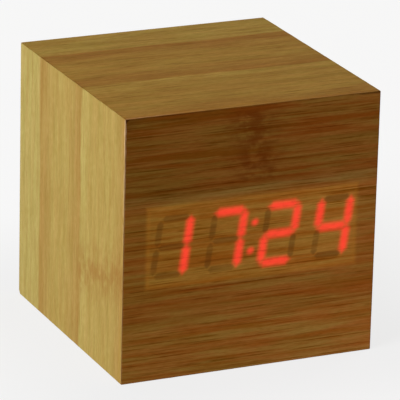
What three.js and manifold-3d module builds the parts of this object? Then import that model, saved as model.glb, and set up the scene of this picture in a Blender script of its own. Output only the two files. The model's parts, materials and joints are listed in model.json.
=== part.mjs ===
// A cube desk clock. The case is five boards under bamboo veneer, and a four-digit display shines through
// the front sheet. A moulded rear cover holds the battery bay, three push buttons and the power inlet.
// Millimetres, +Z up. The front faces -Y, left is -X, and the origin is the middle of the underside.

import * as THREE from "three";
import { mergeVertices } from "three/addons/utils/BufferGeometryUtils.js";
import Module from "manifold-3d";

const wasm = await Module();
wasm.setup();

// Fits
const glueGap = 0.05; // between faces that are glued, soldered or screwed together
const slideGap = 0.3; // round a piece that moves in another or slips into it
const cutMargin = 1; // how far a cutting tool stands out of what it cuts

// Wooden case
const veneerThickness = 0.5;
const boardThickness = 3;
const frontBoardThickness = 6;
const insideMargin = 0.7; // least room beside the battery bay, and least wood beside the window
const cornerBlockSize = 6.4;
const cornerBlockLength = 12;
const rearRecess = 1.4; // from the rear edges of the boards in to the cover

// Display
const digitCount = 4;
const digitHeight = 14.2;
const digitWidth = 8.4;
const digitGap = 4.3; // between neighbouring digits
const digitStroke = 1.4;
const digitSlant = THREE.MathUtils.degToRad(8);
const segmentGap = 0.3; // between the ends of neighbouring segments
const colonDiameter = 1.6;
const colonSpacing = 6.4;
const wellDraft = 0.15; // each side of a light well leans in by this much towards its LED
const displayTrim = 0.5; // the display is this much narrower than its digits and their gaps
const displayBorder = 2.4; // above and below the digits
const displayShift = 0.3; // to the right of the middle of the front
const displayRise = 0.25; // above the middle of the front
const diffuserThickness = 0.3;
const ledLength = 1.6;
const ledHeight = 0.6;
const ledClearance = 0.15; // from an LED to the sides of its well

// Circuit boards and what is soldered to them
const circuitThickness = 1.6;
const displayBoardFlange = 5.5; // how far the display board reaches past the window, above and below
const displayScrewInset = 4; // from the ends of the display board to its screws
const chipLength = 12.8;
const chipWidth = 7.5;
const chipHeight = 2.3;
const chipLegsPerSide = 10;
const chipLegPitch = 1.27;
const chipLegWidth = 0.42;
const chipLegReach = 1.4;
const chipLegThickness = 0.3;
const chipShift = 11; // to the left of the board's middle
const crystalDiameter = 3;
const crystalLength = 8;
const crystalGap = 1.3; // from the chip's legs to the crystal
const buzzerDiameter = 12;
const buzzerHeight = 8.5;
const buzzerHole = 2;
const buzzerHoleDepth = 3;
const buzzerEdge = 0.6;
const buzzerShift = 10; // to the right of the board's middle
const buzzerDrop = 5; // below the board's middle

// Battery cells and their contacts
const cellCount = 3;
const cellDiameter = 10.5;
const cellLength = 44.5;
const cellNubDiameter = 3.8;
const cellNubLength = 0.9;
const cellEdge = 0.6; // rounding of the can's ends
const cellSpacing = 0.4;
const contactThickness = 0.4;
const contactWidth = 8.4;
const tagWidth = 2.4;
const tagReach = 2.2; // how far a solder tag stands out behind the bay
const springLength = 3.2;
const springTurns = 2.5;
const springWire = 0.5;
const springBaseDiameter = 6.6;
const springTipDiameter = 3.4;

// Rear cover and battery door
const coverThickness = 2;
const coverCorner = 1.2;
const bayWall = 1.2;
const bayLedge = 0.6; // how much of the bay's rim lies under the door
const dividerHeight = 2.4;
const dividerThickness = 0.8;
const dividerInset = 8; // from the ends of the bay
const guideWall = 0.6; // of the guides that hold the contact plates
const doorThickness = 1.6;
const doorCorner = 0.8;
const tabWidth = 6;
const tabSpacing = 28;
const tabThickness = 1;
const tabReach = 1.4; // how far a tab hooks behind the cover
const tabRise = 1.2; // height of the arm that carries a tab
const latchWidth = 11;
const latchLength = 7;
const latchSlit = 0.8;
const latchClearance = 0.1;
const nibInset = 0.4; // from the door's outer face
const nibHeight = 0.8;
const ridgeCount = 3;
const ridgeDiameter = 0.8;
const ridgePitch = 1.5;
const screwSeat = 0.8; // depth of the recess round each cover screw

// Buttons, switches and the power inlet
const keyNames = ["set", "up", "down"];
const keyRowGap = 0.8;
const keyBoardEdge = 0.6;
const postDiameter = 4;
const switchSize = 6;
const switchHeight = 3.5;
const switchLegWidth = 0.8;
const switchLegReach = 0.3;
const plungerDiameter = 3.2;
const plungerReach = 1.5;
const plungerDepth = 1;
const buttonTravel = 0.5;
const capDiameter = 4.6;
const capRim = 0.7; // how far the flange inside the cover stands out
const capRimThickness = 0.8;
const capProud = 0.9;
const capEdge = 0.4;
const capStem = 0.5;
const jackSize = 6.4;
const jackNoseDiameter = 6;
const jackNoseLength = 2.3;
const jackBore = 3.8;
const jackFloor = 1;
const jackPinDiameter = 1.2;
const jackPinInset = 1;
const jackRecess = 0.3; // from the cover's face in to the nose

// Screws: diameter and height of the head, diameter and length of the shank, and width of the cross
const coverScrew = { head: 4, rise: 1.3, shank: 2.2, length: 9, cross: 2.4 };
const boardScrew = { head: 3.2, rise: 1.1, shank: 1.6, length: 6, cross: 1.9 };
const screwTip = 1.5;
const headEdge = 0.8;
const crossWidth = 0.5;
const crossDepth = 0.6;

// Wiring
const ribbonWidth = 10;
const ribbonThickness = 0.9;
const ribbonStraight = 4; // at each end
const ribbonSag = 1;
const leadDiameter = 1.2;
const leadStraight = 1.5; // at each end
const leadBow = 3; // how far a lead stands off its tag before it turns
const leadShoulder = 20; // from the middle of the clock to where a lead rises over the bay
const leadEnd = 11; // from the middle of the key board to a lead's solder joint
const leadDrop = 1.5; // from the middle of the key board down to a lead's solder joint

// Facets
const roundSides = 24;
const screwSides = 16;
const filletSides = 3;
const wireSides = 8;
const springSides = 5;
const springStepsPerTurn = 8;
const springPointsPerTurn = 60; // for measuring the gap between turns
const ribbonSteps = 20;
const leadSteps = 16;

// Worked out: the display, the bay, the key row, and the cube that holds them
const digitPitch = digitWidth + digitGap;
const displayWidth = digitCount * digitPitch - displayTrim;
const displayHeight = digitHeight + 2 * displayBorder;
const ledWidth = digitStroke - 2 * (wellDraft + ledClearance);
const cellPitch = cellDiameter + cellSpacing;
const contactSeat = contactThickness + glueGap;
const bayLength = cellLength + springLength + 2 * contactSeat + slideGap;
const bayHeight = cellCount * cellPitch - cellSpacing + 2 * slideGap;
const bayDepth = cellDiameter + 2 * slideGap; // from its floor to the door
const keyRow = [postDiameter, ...keyNames.map(() => switchSize), jackSize, postDiameter];
const keyRowWidth = keyRow.reduce((sum, width) => sum + width + keyRowGap, -keyRowGap);
const keyBoardWidth = keyRowWidth + 2 * keyBoardEdge;
const keyBoardHeight = Math.max(switchSize, jackSize) + 2 * keyBoardEdge;
const blockSeat = cornerBlockSize + glueGap;
const insideSize = Math.max(
  bayLength + 2 * (bayWall + insideMargin),
  displayWidth + 2 * (slideGap + insideMargin + displayShift),
  keyBoardWidth + 2 * (slideGap + blockSeat),
  blockSeat + bayHeight + 2 * (bayWall + slideGap) + Math.max(keyBoardHeight + slideGap, blockSeat),
);
const caseSize = insideSize + 2 * (boardThickness + glueGap + veneerThickness);

// Worked out: planes, measured from the middle of the cube
const half = caseSize / 2;
const boardOuter = half - veneerThickness - glueGap;
const insideHalf = insideSize / 2;
const mitreGap = glueGap / 2;
const frontBoardBack = frontBoardThickness - boardOuter;
const displayBoardFront = frontBoardBack + glueGap;
const displayBoardBack = displayBoardFront + circuitThickness;
const displayBoardHeight = displayHeight + 2 * displayBoardFlange;
const displayScrewX = displayWidth / 2 - displayScrewInset;
const displayScrewZ = (displayHeight + displayBoardFlange) / 2;
const blockCentre = insideHalf - glueGap - cornerBlockSize / 2;
const coverOuter = half - rearRecess;
const coverInner = coverOuter - coverThickness;
const bayBottom = blockSeat + slideGap + bayWall - insideHalf;
const bayTop = bayBottom + bayHeight;
const bayMiddle = (bayBottom + bayTop) / 2;
const bayFloor = coverOuter - doorThickness - bayDepth;
const bayRear = bayFloor - bayWall;
const cellMiddle = bayFloor + bayDepth / 2;
const contactPlace = bayLength / 2 - glueGap - contactThickness / 2;
const openingBottom = bayBottom - bayLedge;
const openingWidth = bayLength + 2 * bayLedge;
const openingHeight = bayHeight + 2 * bayLedge;
const keyRowMiddle = (bayTop + bayWall + insideHalf) / 2;
const capBottom = coverInner - slideGap - capRimThickness - capStem;
const plungerTop = capBottom - glueGap;
const switchTop = plungerTop - plungerReach;
const keyBoardFront = switchTop - switchHeight - glueGap;
const keyBoardBack = keyBoardFront - circuitThickness;
const digitMiddles = Array.from(
  { length: digitCount },
  (_, digit) => (digit - (digitCount - 1) / 2) * digitPitch,
);
const keyPlaces = rowPlaces(keyRow, keyRowGap);
const postPlaces = [keyPlaces[0], keyPlaces.at(-1)];
const buttonPlaces = keyPlaces.slice(1, 1 + keyNames.length);
const jackPlace = keyPlaces.at(-2);
const cornerPlaces = [-blockCentre, blockCentre].flatMap((z) =>
  [-blockCentre, blockCentre].map((x) => [x, z]),
);

// The contact plates: the side of the bay they stand at, and the first and last cell that they touch.
// Cells are counted from the top, and neighbours face opposite ways, so the plates join them in series.
const contactPlates = [
  { name: "contact_plate_positive", side: -1, first: 0, last: 0, tagged: true },
  { name: "contact_plate_pair_right", side: 1, first: 0, last: 1, tagged: false },
  { name: "contact_plate_pair_left", side: -1, first: 1, last: 2, tagged: false },
  { name: "contact_plate_negative", side: 1, first: 2, last: 2, tagged: true },
];
const taggedPlates = contactPlates.filter(({ tagged }) => tagged);

const finishes = {
  veneer: finish(0xb3894f, 0.5),
  board: finish(0x8a6a45, 0.85),
  blackPlastic: finish(0x1b1b1c, 0.55),
  whitePlastic: finish(0xe4e2da, 0.6),
  film: finish(0xf1efe6, 0.5),
  circuit: finish(0x1f5a34, 0.5),
  chip: finish(0x202022, 0.5),
  steel: finish(0xb9bcc0, 0.3, 1),
  brass: finish(0xc7a35a, 0.3, 1),
  cell: finish(0x2f3a44, 0.35),
  ribbon: finish(0x8f9296, 0.6),
  redWire: finish(0xa81f1a, 0.5),
  blackWire: finish(0x151515, 0.5),
};

function finish(color, roughness, metalness = 0) {
  return new THREE.MeshStandardMaterial({ color, roughness, metalness });
}

// Middles of things that stand in a row, from left to right, with the row centred on zero.
function rowPlaces(widths, gap) {
  const total = widths.reduce((sum, width) => sum + width + gap, -gap);
  let edge = -total / 2;
  return widths.map((width) => {
    const middle = edge + width / 2;
    edge += width + gap;
    return middle;
  });
}

function piece(name, geometry, material, x, y, z) {
  const mesh = new THREE.Mesh(geometry, material);
  mesh.name = name;
  mesh.position.set(x, y, z);
  return mesh;
}

// Booleans
function solidOf(geometry) {
  const bare = geometry.clone();
  bare.deleteAttribute("normal");
  bare.deleteAttribute("uv");
  const merged = mergeVertices(bare);
  const corners = merged.index.array;
  const triVerts = [];
  for (let i = 0; i < corners.length; i += 3) {
    const [a, b, c] = corners.slice(i, i + 3);
    if (a !== b && b !== c && c !== a) triVerts.push(a, b, c);
  }
  const vertProperties = merged.attributes.position.array;
  return new wasm.Manifold(
    new wasm.Mesh({ numProp: 3, vertProperties, triVerts: new Uint32Array(triVerts) }),
  );
}

function geometryOf(solid) {
  const { vertProperties, triVerts } = solid.getMesh();
  const geometry = new THREE.BufferGeometry();
  geometry.setAttribute("position", new THREE.BufferAttribute(vertProperties, 3));
  geometry.setIndex(new THREE.BufferAttribute(triVerts, 1));
  geometry.computeVertexNormals();
  return geometry;
}

function join(...geometries) {
  return geometryOf(geometries.map(solidOf).reduce((whole, next) => whole.add(next)));
}

function cut(geometry, ...tools) {
  return geometryOf(tools.map(solidOf).reduce((rest, tool) => rest.subtract(tool), solidOf(geometry)));
}

// Outlines and bodies
function rectangle(width, height, x = 0, z = 0) {
  return new THREE.Shape([
    new THREE.Vector2(x - width / 2, z - height / 2),
    new THREE.Vector2(x + width / 2, z - height / 2),
    new THREE.Vector2(x + width / 2, z + height / 2),
    new THREE.Vector2(x - width / 2, z + height / 2),
  ]);
}

function roundedRectangle(width, height, radius, x = 0, z = 0) {
  const right = width / 2 - radius;
  const top = height / 2 - radius;
  return new THREE.Shape()
    .absarc(x + right, z + top, radius, 0, Math.PI / 2)
    .absarc(x - right, z + top, radius, Math.PI / 2, Math.PI)
    .absarc(x - right, z - top, radius, Math.PI, 1.5 * Math.PI)
    .absarc(x + right, z - top, radius, 1.5 * Math.PI, 2 * Math.PI);
}

function circle(diameter, x, z, sides = roundSides) {
  return new THREE.Path(new THREE.EllipseCurve(x, z, diameter / 2, diameter / 2).getPoints(sides));
}

// An upright plate: the outline lies in X and Z, and the rear face is at y = 0.
function plate(outline, thickness) {
  const settings = { depth: thickness, bevelEnabled: false, curveSegments: filletSides };
  return new THREE.ExtrudeGeometry(outline, settings).rotateX(Math.PI / 2);
}

// A bar along X, centred on x = 0, with its section given as points in Y and Z.
function barAlongX(section, length) {
  const outline = new THREE.Shape(section.map(([y, z]) => new THREE.Vector2(y, z)));
  const turn = new THREE.Matrix4().makeBasis(
    new THREE.Vector3(0, 1, 0),
    new THREE.Vector3(0, 0, 1),
    new THREE.Vector3(1, 0, 0),
  );
  return new THREE.ExtrudeGeometry(outline, { depth: length, bevelEnabled: false })
    .applyMatrix4(turn)
    .translate(-length / 2, 0, 0);
}

function rod(diameter, length, sides = roundSides) {
  return new THREE.CylinderGeometry(diameter / 2, diameter / 2, length, sides);
}

// A turned piece on the Y axis, from points of [diameter, y].
function turned(profile, sides = roundSides) {
  const points = profile.map(([diameter, y]) => new THREE.Vector2(diameter / 2, y));
  return geometryOf(solidOf(new THREE.LatheGeometry(points, sides)));
}

// The points of a turned piece's rounded edge, from its side in to its end face at y = end.
// The piece lies on the side of the end face that inward, 1 or -1, points to.
function roundedEdge(diameter, end, radius, inward) {
  return Array.from({ length: filletSides + 1 }, (_, step) => {
    const angle = (Math.PI / 2) * (step / filletSides);
    const drawnIn = radius * (1 - Math.cos(angle));
    return [diameter - 2 * drawnIn, end + inward * radius * (1 - Math.sin(angle))];
  });
}

function wire(path, diameter, steps, sides) {
  const outline = new THREE.Shape();
  for (let side = 0; side < sides; side += 1) {
    const angle = (2 * Math.PI * side) / sides;
    const [u, v] = [Math.cos(angle) * (diameter / 2), Math.sin(angle) * (diameter / 2)];
    if (side === 0) outline.moveTo(u, v);
    else outline.lineTo(u, v);
  }
  return new THREE.ExtrudeGeometry(outline, { steps, extrudePath: path, bevelEnabled: false });
}

// A pan-head screw along Y. The underside of its head is at y = 0, and it points to -Y.
function screw({ head, rise, shank, length, cross }) {
  const body = turned(
    [
      [0, -length],
      [shank, screwTip - length],
      [shank, 0],
      [head, 0],
      ...roundedEdge(head, rise, headEdge, -1),
      [0, rise],
    ],
    screwSides,
  );
  const crossHeight = crossDepth + cutMargin;
  const crossPlace = rise - crossDepth + crossHeight / 2;
  const arms = [0, Math.PI / 2].map((turn) =>
    new THREE.BoxGeometry(cross, crossHeight, crossWidth).rotateY(turn).translate(0, crossPlace, 0),
  );
  return cut(body, ...arms);
}

// The case is one band folded round four sides, mitred at its corners, with the front set into it.
function woodenCase() {
  const group = new THREE.Group();
  const sides = { top: 0, right: Math.PI / 2, bottom: Math.PI, left: -Math.PI / 2 };
  for (const [side, turn] of Object.entries(sides)) {
    const sheet = piece(`${side}_veneer`, bandSheet(), finishes.veneer, 0, 0, 0);
    const board = piece(`${side}_board`, bandBoard(), finishes.board, 0, half, 0);
    sheet.rotation.y = turn;
    board.rotation.y = turn;
    group.add(sheet, board);
  }
  const edge = half - mitreGap;
  group.add(piece("front_veneer", mitredSheet(edge, edge), finishes.veneer, 0, 0, 0));
  group.add(piece("front_board", frontBoard(), finishes.board, 0, frontBoardBack, 0));
  group.add(...cornerBlocks());
  return group;
}

// A sheet on the front face, with edges that lean in at 45 degrees. Its upper edge is square if it is
// told to reach past the mitre.
function mitredSheet(edge, upperEdge) {
  const inner = edge - veneerThickness;
  const innerUpper = upperEdge > edge ? upperEdge : inner;
  const outerOutline = [[-edge, -edge], [edge, -edge], [edge, upperEdge], [-edge, upperEdge]];
  const innerOutline = [[-inner, -inner], [inner, -inner], [inner, innerUpper], [-inner, innerUpper]];
  return loft(outerOutline, -half, innerOutline, veneerThickness - half);
}

// The band's sheet for the top: a sheet of the front, turned up, with its square edge at the rear.
function bandSheet() {
  return mitredSheet(half - mitreGap, half).rotateX(-Math.PI / 2);
}

// The band's board for the top. Its rear edge is at y = 0.
function bandBoard() {
  const outer = boardOuter - mitreGap;
  const inner = outer - boardThickness;
  const section = [[-outer, boardOuter], [-inner, insideHalf], [inner, insideHalf], [outer, boardOuter]];
  const outline = new THREE.Shape(section.map(([x, z]) => new THREE.Vector2(x, z)));
  return plate(outline, half + boardOuter);
}

// The front board has the display window, and pilot holes for the display's screws.
function frontBoard() {
  const outline = rectangle(2 * (insideHalf - glueGap), 2 * (insideHalf - glueGap));
  outline.holes.push(
    rectangle(displayWidth + 2 * slideGap, displayHeight + 2 * slideGap, displayShift, displayRise),
  );
  const pilots = displayScrewPlaces().map(([x, z]) => {
    const depth = boardScrew.length - circuitThickness + slideGap;
    return rod(boardScrew.shank + 2 * slideGap, depth + cutMargin, screwSides)
      .translate(x, (cutMargin - depth) / 2, z);
  });
  return cut(plate(outline, frontBoardThickness), ...pilots);
}

function displayScrewPlaces() {
  const across = [-displayScrewX, displayScrewX];
  const up = [-displayScrewZ, displayScrewZ];
  return up.flatMap((z) => across.map((x) => [x + displayShift, z + displayRise]));
}

function cornerBlocks() {
  const pilotDepth = coverScrew.length - coverThickness + screwSeat + slideGap;
  return cornerPlaces.map(([x, z]) => {
    const pilot = rod(coverScrew.shank + 2 * slideGap, pilotDepth + cutMargin, screwSides)
      .translate(0, (cornerBlockLength - pilotDepth + cutMargin) / 2, 0);
    const block = cut(new THREE.BoxGeometry(cornerBlockSize, cornerBlockLength, cornerBlockSize), pilot);
    const name = `corner_block_${z > 0 ? "top" : "bottom"}_${x < 0 ? "left" : "right"}`;
    return piece(name, block, finishes.board, x, coverInner - glueGap - cornerBlockLength / 2, z);
  });
}

// The seven segments of a digit: where each one's middle lies, in half spacings of the strokes.
const segments = [
  { across: 0, up: 1, upright: false },
  { across: 1, up: 0.5, upright: true },
  { across: 1, up: -0.5, upright: true },
  { across: 0, up: -1, upright: false },
  { across: -1, up: -0.5, upright: true },
  { across: -1, up: 0.5, upright: true },
  { across: 0, up: 0, upright: false },
];
const strokeAcross = (digitWidth - digitStroke) / 2;
const strokeUp = (digitHeight - digitStroke) / 2;

function slanted(x, z) {
  return [x + z * Math.tan(digitSlant), z];
}

// A segment's outline is a bar with pointed ends, drawn in by the given inset.
function segmentOutline(segment, middle, inset) {
  const spacing = segment.upright ? strokeUp : 2 * strokeAcross;
  const tip = (spacing - segmentGap) / 2 - inset;
  const side = digitStroke / 2 - inset;
  const shoulder = tip - side;
  const lower = [[-tip, 0], [-shoulder, -side], [shoulder, -side]];
  const bar = [...lower, ...lower.map(([along, beside]) => [-along, -beside])];
  return bar.map(([along, beside]) => {
    const x = segment.across * strokeAcross + (segment.upright ? -beside : along);
    const z = segment.up * strokeUp + (segment.upright ? along : beside);
    const [leaning, height] = slanted(x, z);
    return [middle + leaning, height];
  });
}

// A body between two outlines of equally many points: the first at frontY, the second at backY.
function loft(frontOutline, frontY, backOutline, backY) {
  const count = frontOutline.length;
  const points = [
    ...frontOutline.map(([x, z]) => [x, frontY, z]),
    ...backOutline.map(([x, z]) => [x, backY, z]),
  ];
  const triangles = [];
  for (let i = 0; i < count; i += 1) {
    const next = (i + 1) % count;
    triangles.push(i, count + next, next, i, count + i, count + next);
    if (i > 1) triangles.push(0, i - 1, i, count, count + i, count + i - 1);
  }
  const geometry = new THREE.BufferGeometry();
  geometry.setAttribute("position", new THREE.Float32BufferAttribute(points.flat(), 3));
  geometry.setIndex(triangles);
  return geometry;
}

// The light frame: a white block with one tapered well for each segment and each colon dot.
function lightFrame(depth) {
  const overrun = cutMargin / depth;
  const wells = digitMiddles.flatMap((middle) =>
    segments.map((segment) =>
      loft(
        segmentOutline(segment, middle, -overrun * wellDraft),
        -depth / 2 - cutMargin,
        segmentOutline(segment, middle, (1 + overrun) * wellDraft),
        depth / 2 + cutMargin,
      ),
    ),
  );
  const dotRadius = colonDiameter / 2;
  const dots = colonPlaces().map(([x, z]) =>
    new THREE.CylinderGeometry(dotRadius - wellDraft, dotRadius, depth + cutMargin, screwSides)
      .translate(x, 0, z),
  );
  return cut(new THREE.BoxGeometry(displayWidth, depth, displayHeight), ...wells, ...dots);
}

function colonPlaces() {
  return [-1, 1].map((sign) => slanted(0, (sign * colonSpacing) / 2));
}

// The display board carries one LED at the bottom of every well.
function displayBoard() {
  const board = new THREE.BoxGeometry(displayWidth, circuitThickness, displayBoardHeight);
  const ledRoot = circuitThickness / 2;
  const ledReach = ledHeight + ledRoot;
  const ledPlace = -circuitThickness / 2 - ledHeight + ledReach / 2;
  const segmentLeds = digitMiddles.flatMap((middle) =>
    segments.map((segment) => {
      const [x, z] = slanted(segment.across * strokeAcross, segment.up * strokeUp);
      const [width, height] = segment.upright ? [ledWidth, ledLength] : [ledLength, ledWidth];
      return new THREE.BoxGeometry(width, ledReach, height).translate(middle + x, ledPlace, z);
    }),
  );
  const colonLeds = colonPlaces().map(([x, z]) =>
    new THREE.BoxGeometry(ledWidth, ledReach, ledWidth).translate(x, ledPlace, z),
  );
  const holes = displayScrewPlaces().map(([x, z]) =>
    rod(boardScrew.shank + 2 * slideGap, circuitThickness + 2 * cutMargin, screwSides)
      .translate(x - displayShift, 0, z - displayRise),
  );
  return cut(join(board, ...segmentLeds, ...colonLeds), ...holes);
}

// A clock chip with gull-wing legs. Its feet stand on y = 0, and it rises towards +Y.
function clockChip() {
  const bodyHeight = chipHeight - chipLegThickness;
  const body = new THREE.BoxGeometry(chipLength, bodyHeight, chipWidth)
    .translate(0, chipLegThickness + bodyHeight / 2, 0);
  const legHeight = chipHeight / 2;
  const legs = [-1, 1].flatMap((side) =>
    Array.from({ length: chipLegsPerSide }, (_, leg) => {
      const x = (leg - (chipLegsPerSide - 1) / 2) * chipLegPitch;
      const bend = chipWidth / 2 + chipLegReach / 2;
      const section = [
        [legHeight, chipWidth / 2 - chipLegThickness],
        [legHeight - chipLegThickness, chipWidth / 2 - chipLegThickness],
        [legHeight - chipLegThickness, bend],
        [0, bend],
        [0, chipWidth / 2 + chipLegReach],
        [chipLegThickness, chipWidth / 2 + chipLegReach],
        [chipLegThickness, bend + chipLegThickness],
        [legHeight, bend + chipLegThickness],
      ];
      const profile = section.map(([y, z]) => [y, side * z]);
      return barAlongX(side > 0 ? profile : profile.reverse(), chipLegWidth).translate(x, 0, 0);
    }),
  );
  return join(body, ...legs);
}

function buzzer() {
  const hole = buzzerHeight - buzzerHoleDepth;
  return turned([
    [0, 0],
    [buzzerDiameter, 0],
    ...roundedEdge(buzzerDiameter, buzzerHeight, buzzerEdge, -1),
    [buzzerHole, buzzerHeight],
    [buzzerHole, hole],
    [0, hole],
  ]);
}

function display() {
  const group = new THREE.Group();
  group.position.set(displayShift, 0, displayRise);
  const filmFront = -boardOuter;
  const frameFront = filmFront + diffuserThickness + glueGap;
  const frameDepth = displayBoardFront - glueGap - frameFront;
  const film = new THREE.BoxGeometry(displayWidth, diffuserThickness, displayHeight);
  const seat = displayBoardBack + glueGap;
  const crystal = rod(crystalDiameter, crystalLength, screwSides).rotateZ(Math.PI / 2);
  const crystalRise = chipWidth / 2 + chipLegReach + crystalGap + crystalDiameter / 2;
  group.add(
    piece("diffuser_film", film, finishes.film, 0, filmFront + diffuserThickness / 2, 0),
    piece("light_frame", lightFrame(frameDepth), finishes.whitePlastic, 0, frameFront + frameDepth / 2, 0),
    piece("display_board", displayBoard(), finishes.circuit, 0, displayBoardFront + circuitThickness / 2, 0),
    piece("clock_chip", clockChip(), finishes.chip, -chipShift, seat, 0),
    piece("crystal", crystal, finishes.steel, -chipShift, seat + crystalDiameter / 2, crystalRise),
    piece("buzzer", buzzer(), finishes.blackPlastic, buzzerShift, seat, -buzzerDrop),
  );
  displayScrewPlaces().forEach(([x, z], i) => {
    const place = [x - displayShift, seat, z - displayRise];
    group.add(piece(`display_screw_${i + 1}`, screw(boardScrew), finishes.steel, ...place));
  });
  return group;
}

// The rear cover: a plate with the battery bay, its dividers and the key board's posts moulded on.
// Its outer face is at y = 0.
function rearCover() {
  const size = 2 * (insideHalf - slideGap);
  const face = roundedRectangle(size, size, coverCorner);
  face.holes.push(
    roundedRectangle(openingWidth, openingHeight, doorCorner, 0, bayMiddle),
    ...buttonPlaces.map((x) => circle(capDiameter + 2 * slideGap, x, keyRowMiddle)),
    circle(jackNoseDiameter + 2 * slideGap, jackPlace, keyRowMiddle),
    ...cornerPlaces.map(([x, z]) => circle(coverScrew.shank + 2 * slideGap, x, z, screwSides)),
  );
  const bayOutline = rectangle(bayLength + 2 * bayWall, bayHeight + 2 * bayWall, 0, bayMiddle);
  const floor = plate(bayOutline, bayWall).translate(0, bayFloor - coverOuter, 0);
  const wallOutline = bayOutline.clone();
  wallOutline.holes.push(rectangle(bayLength, bayHeight, 0, bayMiddle));
  const walls = plate(wallOutline, coverInner - bayRear).translate(0, -coverThickness, 0);
  const bay = join(floor, walls, ...bayDividers(), ...contactGuides());
  const postLength = coverInner - keyBoardFront - glueGap;
  const posts = postPlaces.map((x) =>
    rod(postDiameter, postLength + coverThickness / 2)
      .translate(x, -coverThickness / 2 - (postLength + coverThickness / 2) / 2, keyRowMiddle),
  );
  const moulding = join(plate(face, coverThickness), bay, ...posts);
  return cut(moulding, ...screwSeats(), ...postPilots(postLength), ...tabSlots(), ...tagSlots());
}

// Low ribs on the bay's floor keep the cells apart.
function bayDividers() {
  return Array.from({ length: cellCount - 1 }, (_, gap) => {
    const root = bayWall / 2;
    const z = (cellPlace(gap) + cellPlace(gap + 1)) / 2;
    return new THREE.BoxGeometry(bayLength - 2 * dividerInset, dividerHeight + root, dividerThickness)
      .translate(0, bayFloor - coverOuter + (dividerHeight - root) / 2, z);
  });
}

// Two guides for each contact plate, on an end wall of the bay. The plate slides down behind their lips.
// The outline's points are the distance from the wall, and the distance past the plate's edge.
function contactGuides() {
  const root = bayWall / 2;
  const lipFace = contactSeat + slideGap;
  const outline = [
    [-root, glueGap],
    [lipFace, glueGap],
    [lipFace, -guideWall],
    [lipFace + guideWall, -guideWall],
    [lipFace + guideWall, glueGap + guideWall],
    [-root, glueGap + guideWall],
  ];
  const top = cellMiddle + contactWidth / 2;
  const guide = (side, up, cell) => {
    const points = outline.map(([reach, past]) => {
      const z = cellPlace(cell) + up * (contactWidth / 2 + past);
      return new THREE.Vector2(side * (bayLength / 2 - reach), z);
    });
    return plate(new THREE.Shape(points), top - bayFloor + root).translate(0, top - coverOuter, 0);
  };
  return contactPlates.flatMap(({ side, first, last }) => [guide(side, 1, first), guide(side, -1, last)]);
}

// Cells are counted from the top of the bay.
function cellPlace(cell) {
  return bayTop - slideGap - cellDiameter / 2 - cell * cellPitch;
}

function screwSeats() {
  return cornerPlaces.map(([x, z]) =>
    rod(coverScrew.head + 2 * slideGap, screwSeat + cutMargin).translate(x, (cutMargin - screwSeat) / 2, z),
  );
}

function postPilots(postLength) {
  const depth = boardScrew.length - circuitThickness + slideGap;
  const end = -coverThickness - postLength;
  return postPlaces.map((x) =>
    rod(boardScrew.shank + 2 * slideGap, depth + cutMargin, screwSides)
      .translate(x, end + (depth - cutMargin) / 2, keyRowMiddle),
  );
}

const tabPlaces = [-tabSpacing / 2, tabSpacing / 2];
const tabBack = coverThickness + slideGap + tabThickness;

// Slots in the bay's lower wall let the door's tabs swing through.
function tabSlots() {
  const swing = Math.hypot(tabBack, tabReach) + slideGap;
  const depth = swing - coverThickness;
  return tabPlaces.map((x) =>
    new THREE.BoxGeometry(tabWidth + 2 * slideGap, depth, 2 * bayWall)
      .translate(x, -coverThickness - depth / 2, bayBottom - bayWall / 2),
  );
}

// Slots in the bay's floor let the two solder tags through, close to its end walls.
function tagSlots() {
  const width = contactSeat + slideGap;
  return taggedPlates.map(({ side, first }) =>
    new THREE.BoxGeometry(width, bayWall + 2 * cutMargin, tagWidth + 2 * slideGap)
      .translate((side * (bayLength - width)) / 2, bayFloor - coverOuter - bayWall / 2, cellPlace(first)),
  );
}

// The battery door. Its hinge line, the lower outer edge of the cover's opening, is at y = 0, z = 0.
function batteryDoor() {
  const width = openingWidth - 2 * slideGap;
  const height = openingHeight - 2 * slideGap;
  const top = slideGap + height;
  const leaf = plate(roundedRectangle(width, height, doorCorner, 0, slideGap + height / 2), doorThickness);
  const armBottom = 2 * slideGap;
  const armTop = armBottom + tabRise;
  const hook = [
    [-doorThickness / 2, armBottom],
    [-doorThickness / 2, armTop],
    [-tabBack, armTop],
    [-tabBack, -tabReach],
    [tabThickness - tabBack, -tabReach],
    [tabThickness - tabBack, armBottom],
  ];
  const tabs = tabPlaces.map((x) => barAlongX(hook, tabWidth).translate(x, 0, 0));
  const ridges = Array.from({ length: ridgeCount }, (_, ridge) =>
    rod(ridgeDiameter, latchWidth - 2 * latchSlit, wireSides)
      .rotateZ(Math.PI / 2)
      .translate(0, 0, top - (ridge + 1) * ridgePitch),
  );
  const nib = [
    [-nibInset - nibHeight, top - slideGap],
    [-nibInset, top - slideGap],
    [-nibInset - nibHeight / 2, top + slideGap - latchClearance],
  ];
  const catchNib = barAlongX(nib, latchWidth - 2 * latchSlit);
  const slitMiddle = top - (latchLength - cutMargin) / 2;
  const slits = [-1, 1].map((side) =>
    new THREE.BoxGeometry(latchSlit, doorThickness + 2 * cutMargin, latchLength + cutMargin)
      .translate((side * (latchWidth + latchSlit)) / 2, -doorThickness / 2, slitMiddle),
  );
  return cut(join(leaf, ...tabs, ...ridges, catchNib), ...slits);
}

// A button cap along Y: a rounded top, a flange that stays behind the cover, and a stem.
// The cover's outer face is at y = 0.
function buttonCap() {
  const flangeTop = -coverThickness - slideGap;
  const flangeBottom = flangeTop - capRimThickness;
  return turned([
    [0, flangeBottom - capStem],
    [plungerDiameter, flangeBottom - capStem],
    [plungerDiameter, flangeBottom],
    [capDiameter + 2 * capRim, flangeBottom],
    [capDiameter + 2 * capRim, flangeTop],
    [capDiameter, flangeTop],
    ...roundedEdge(capDiameter, capProud, capEdge, -1),
    [0, capProud],
  ]);
}

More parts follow.
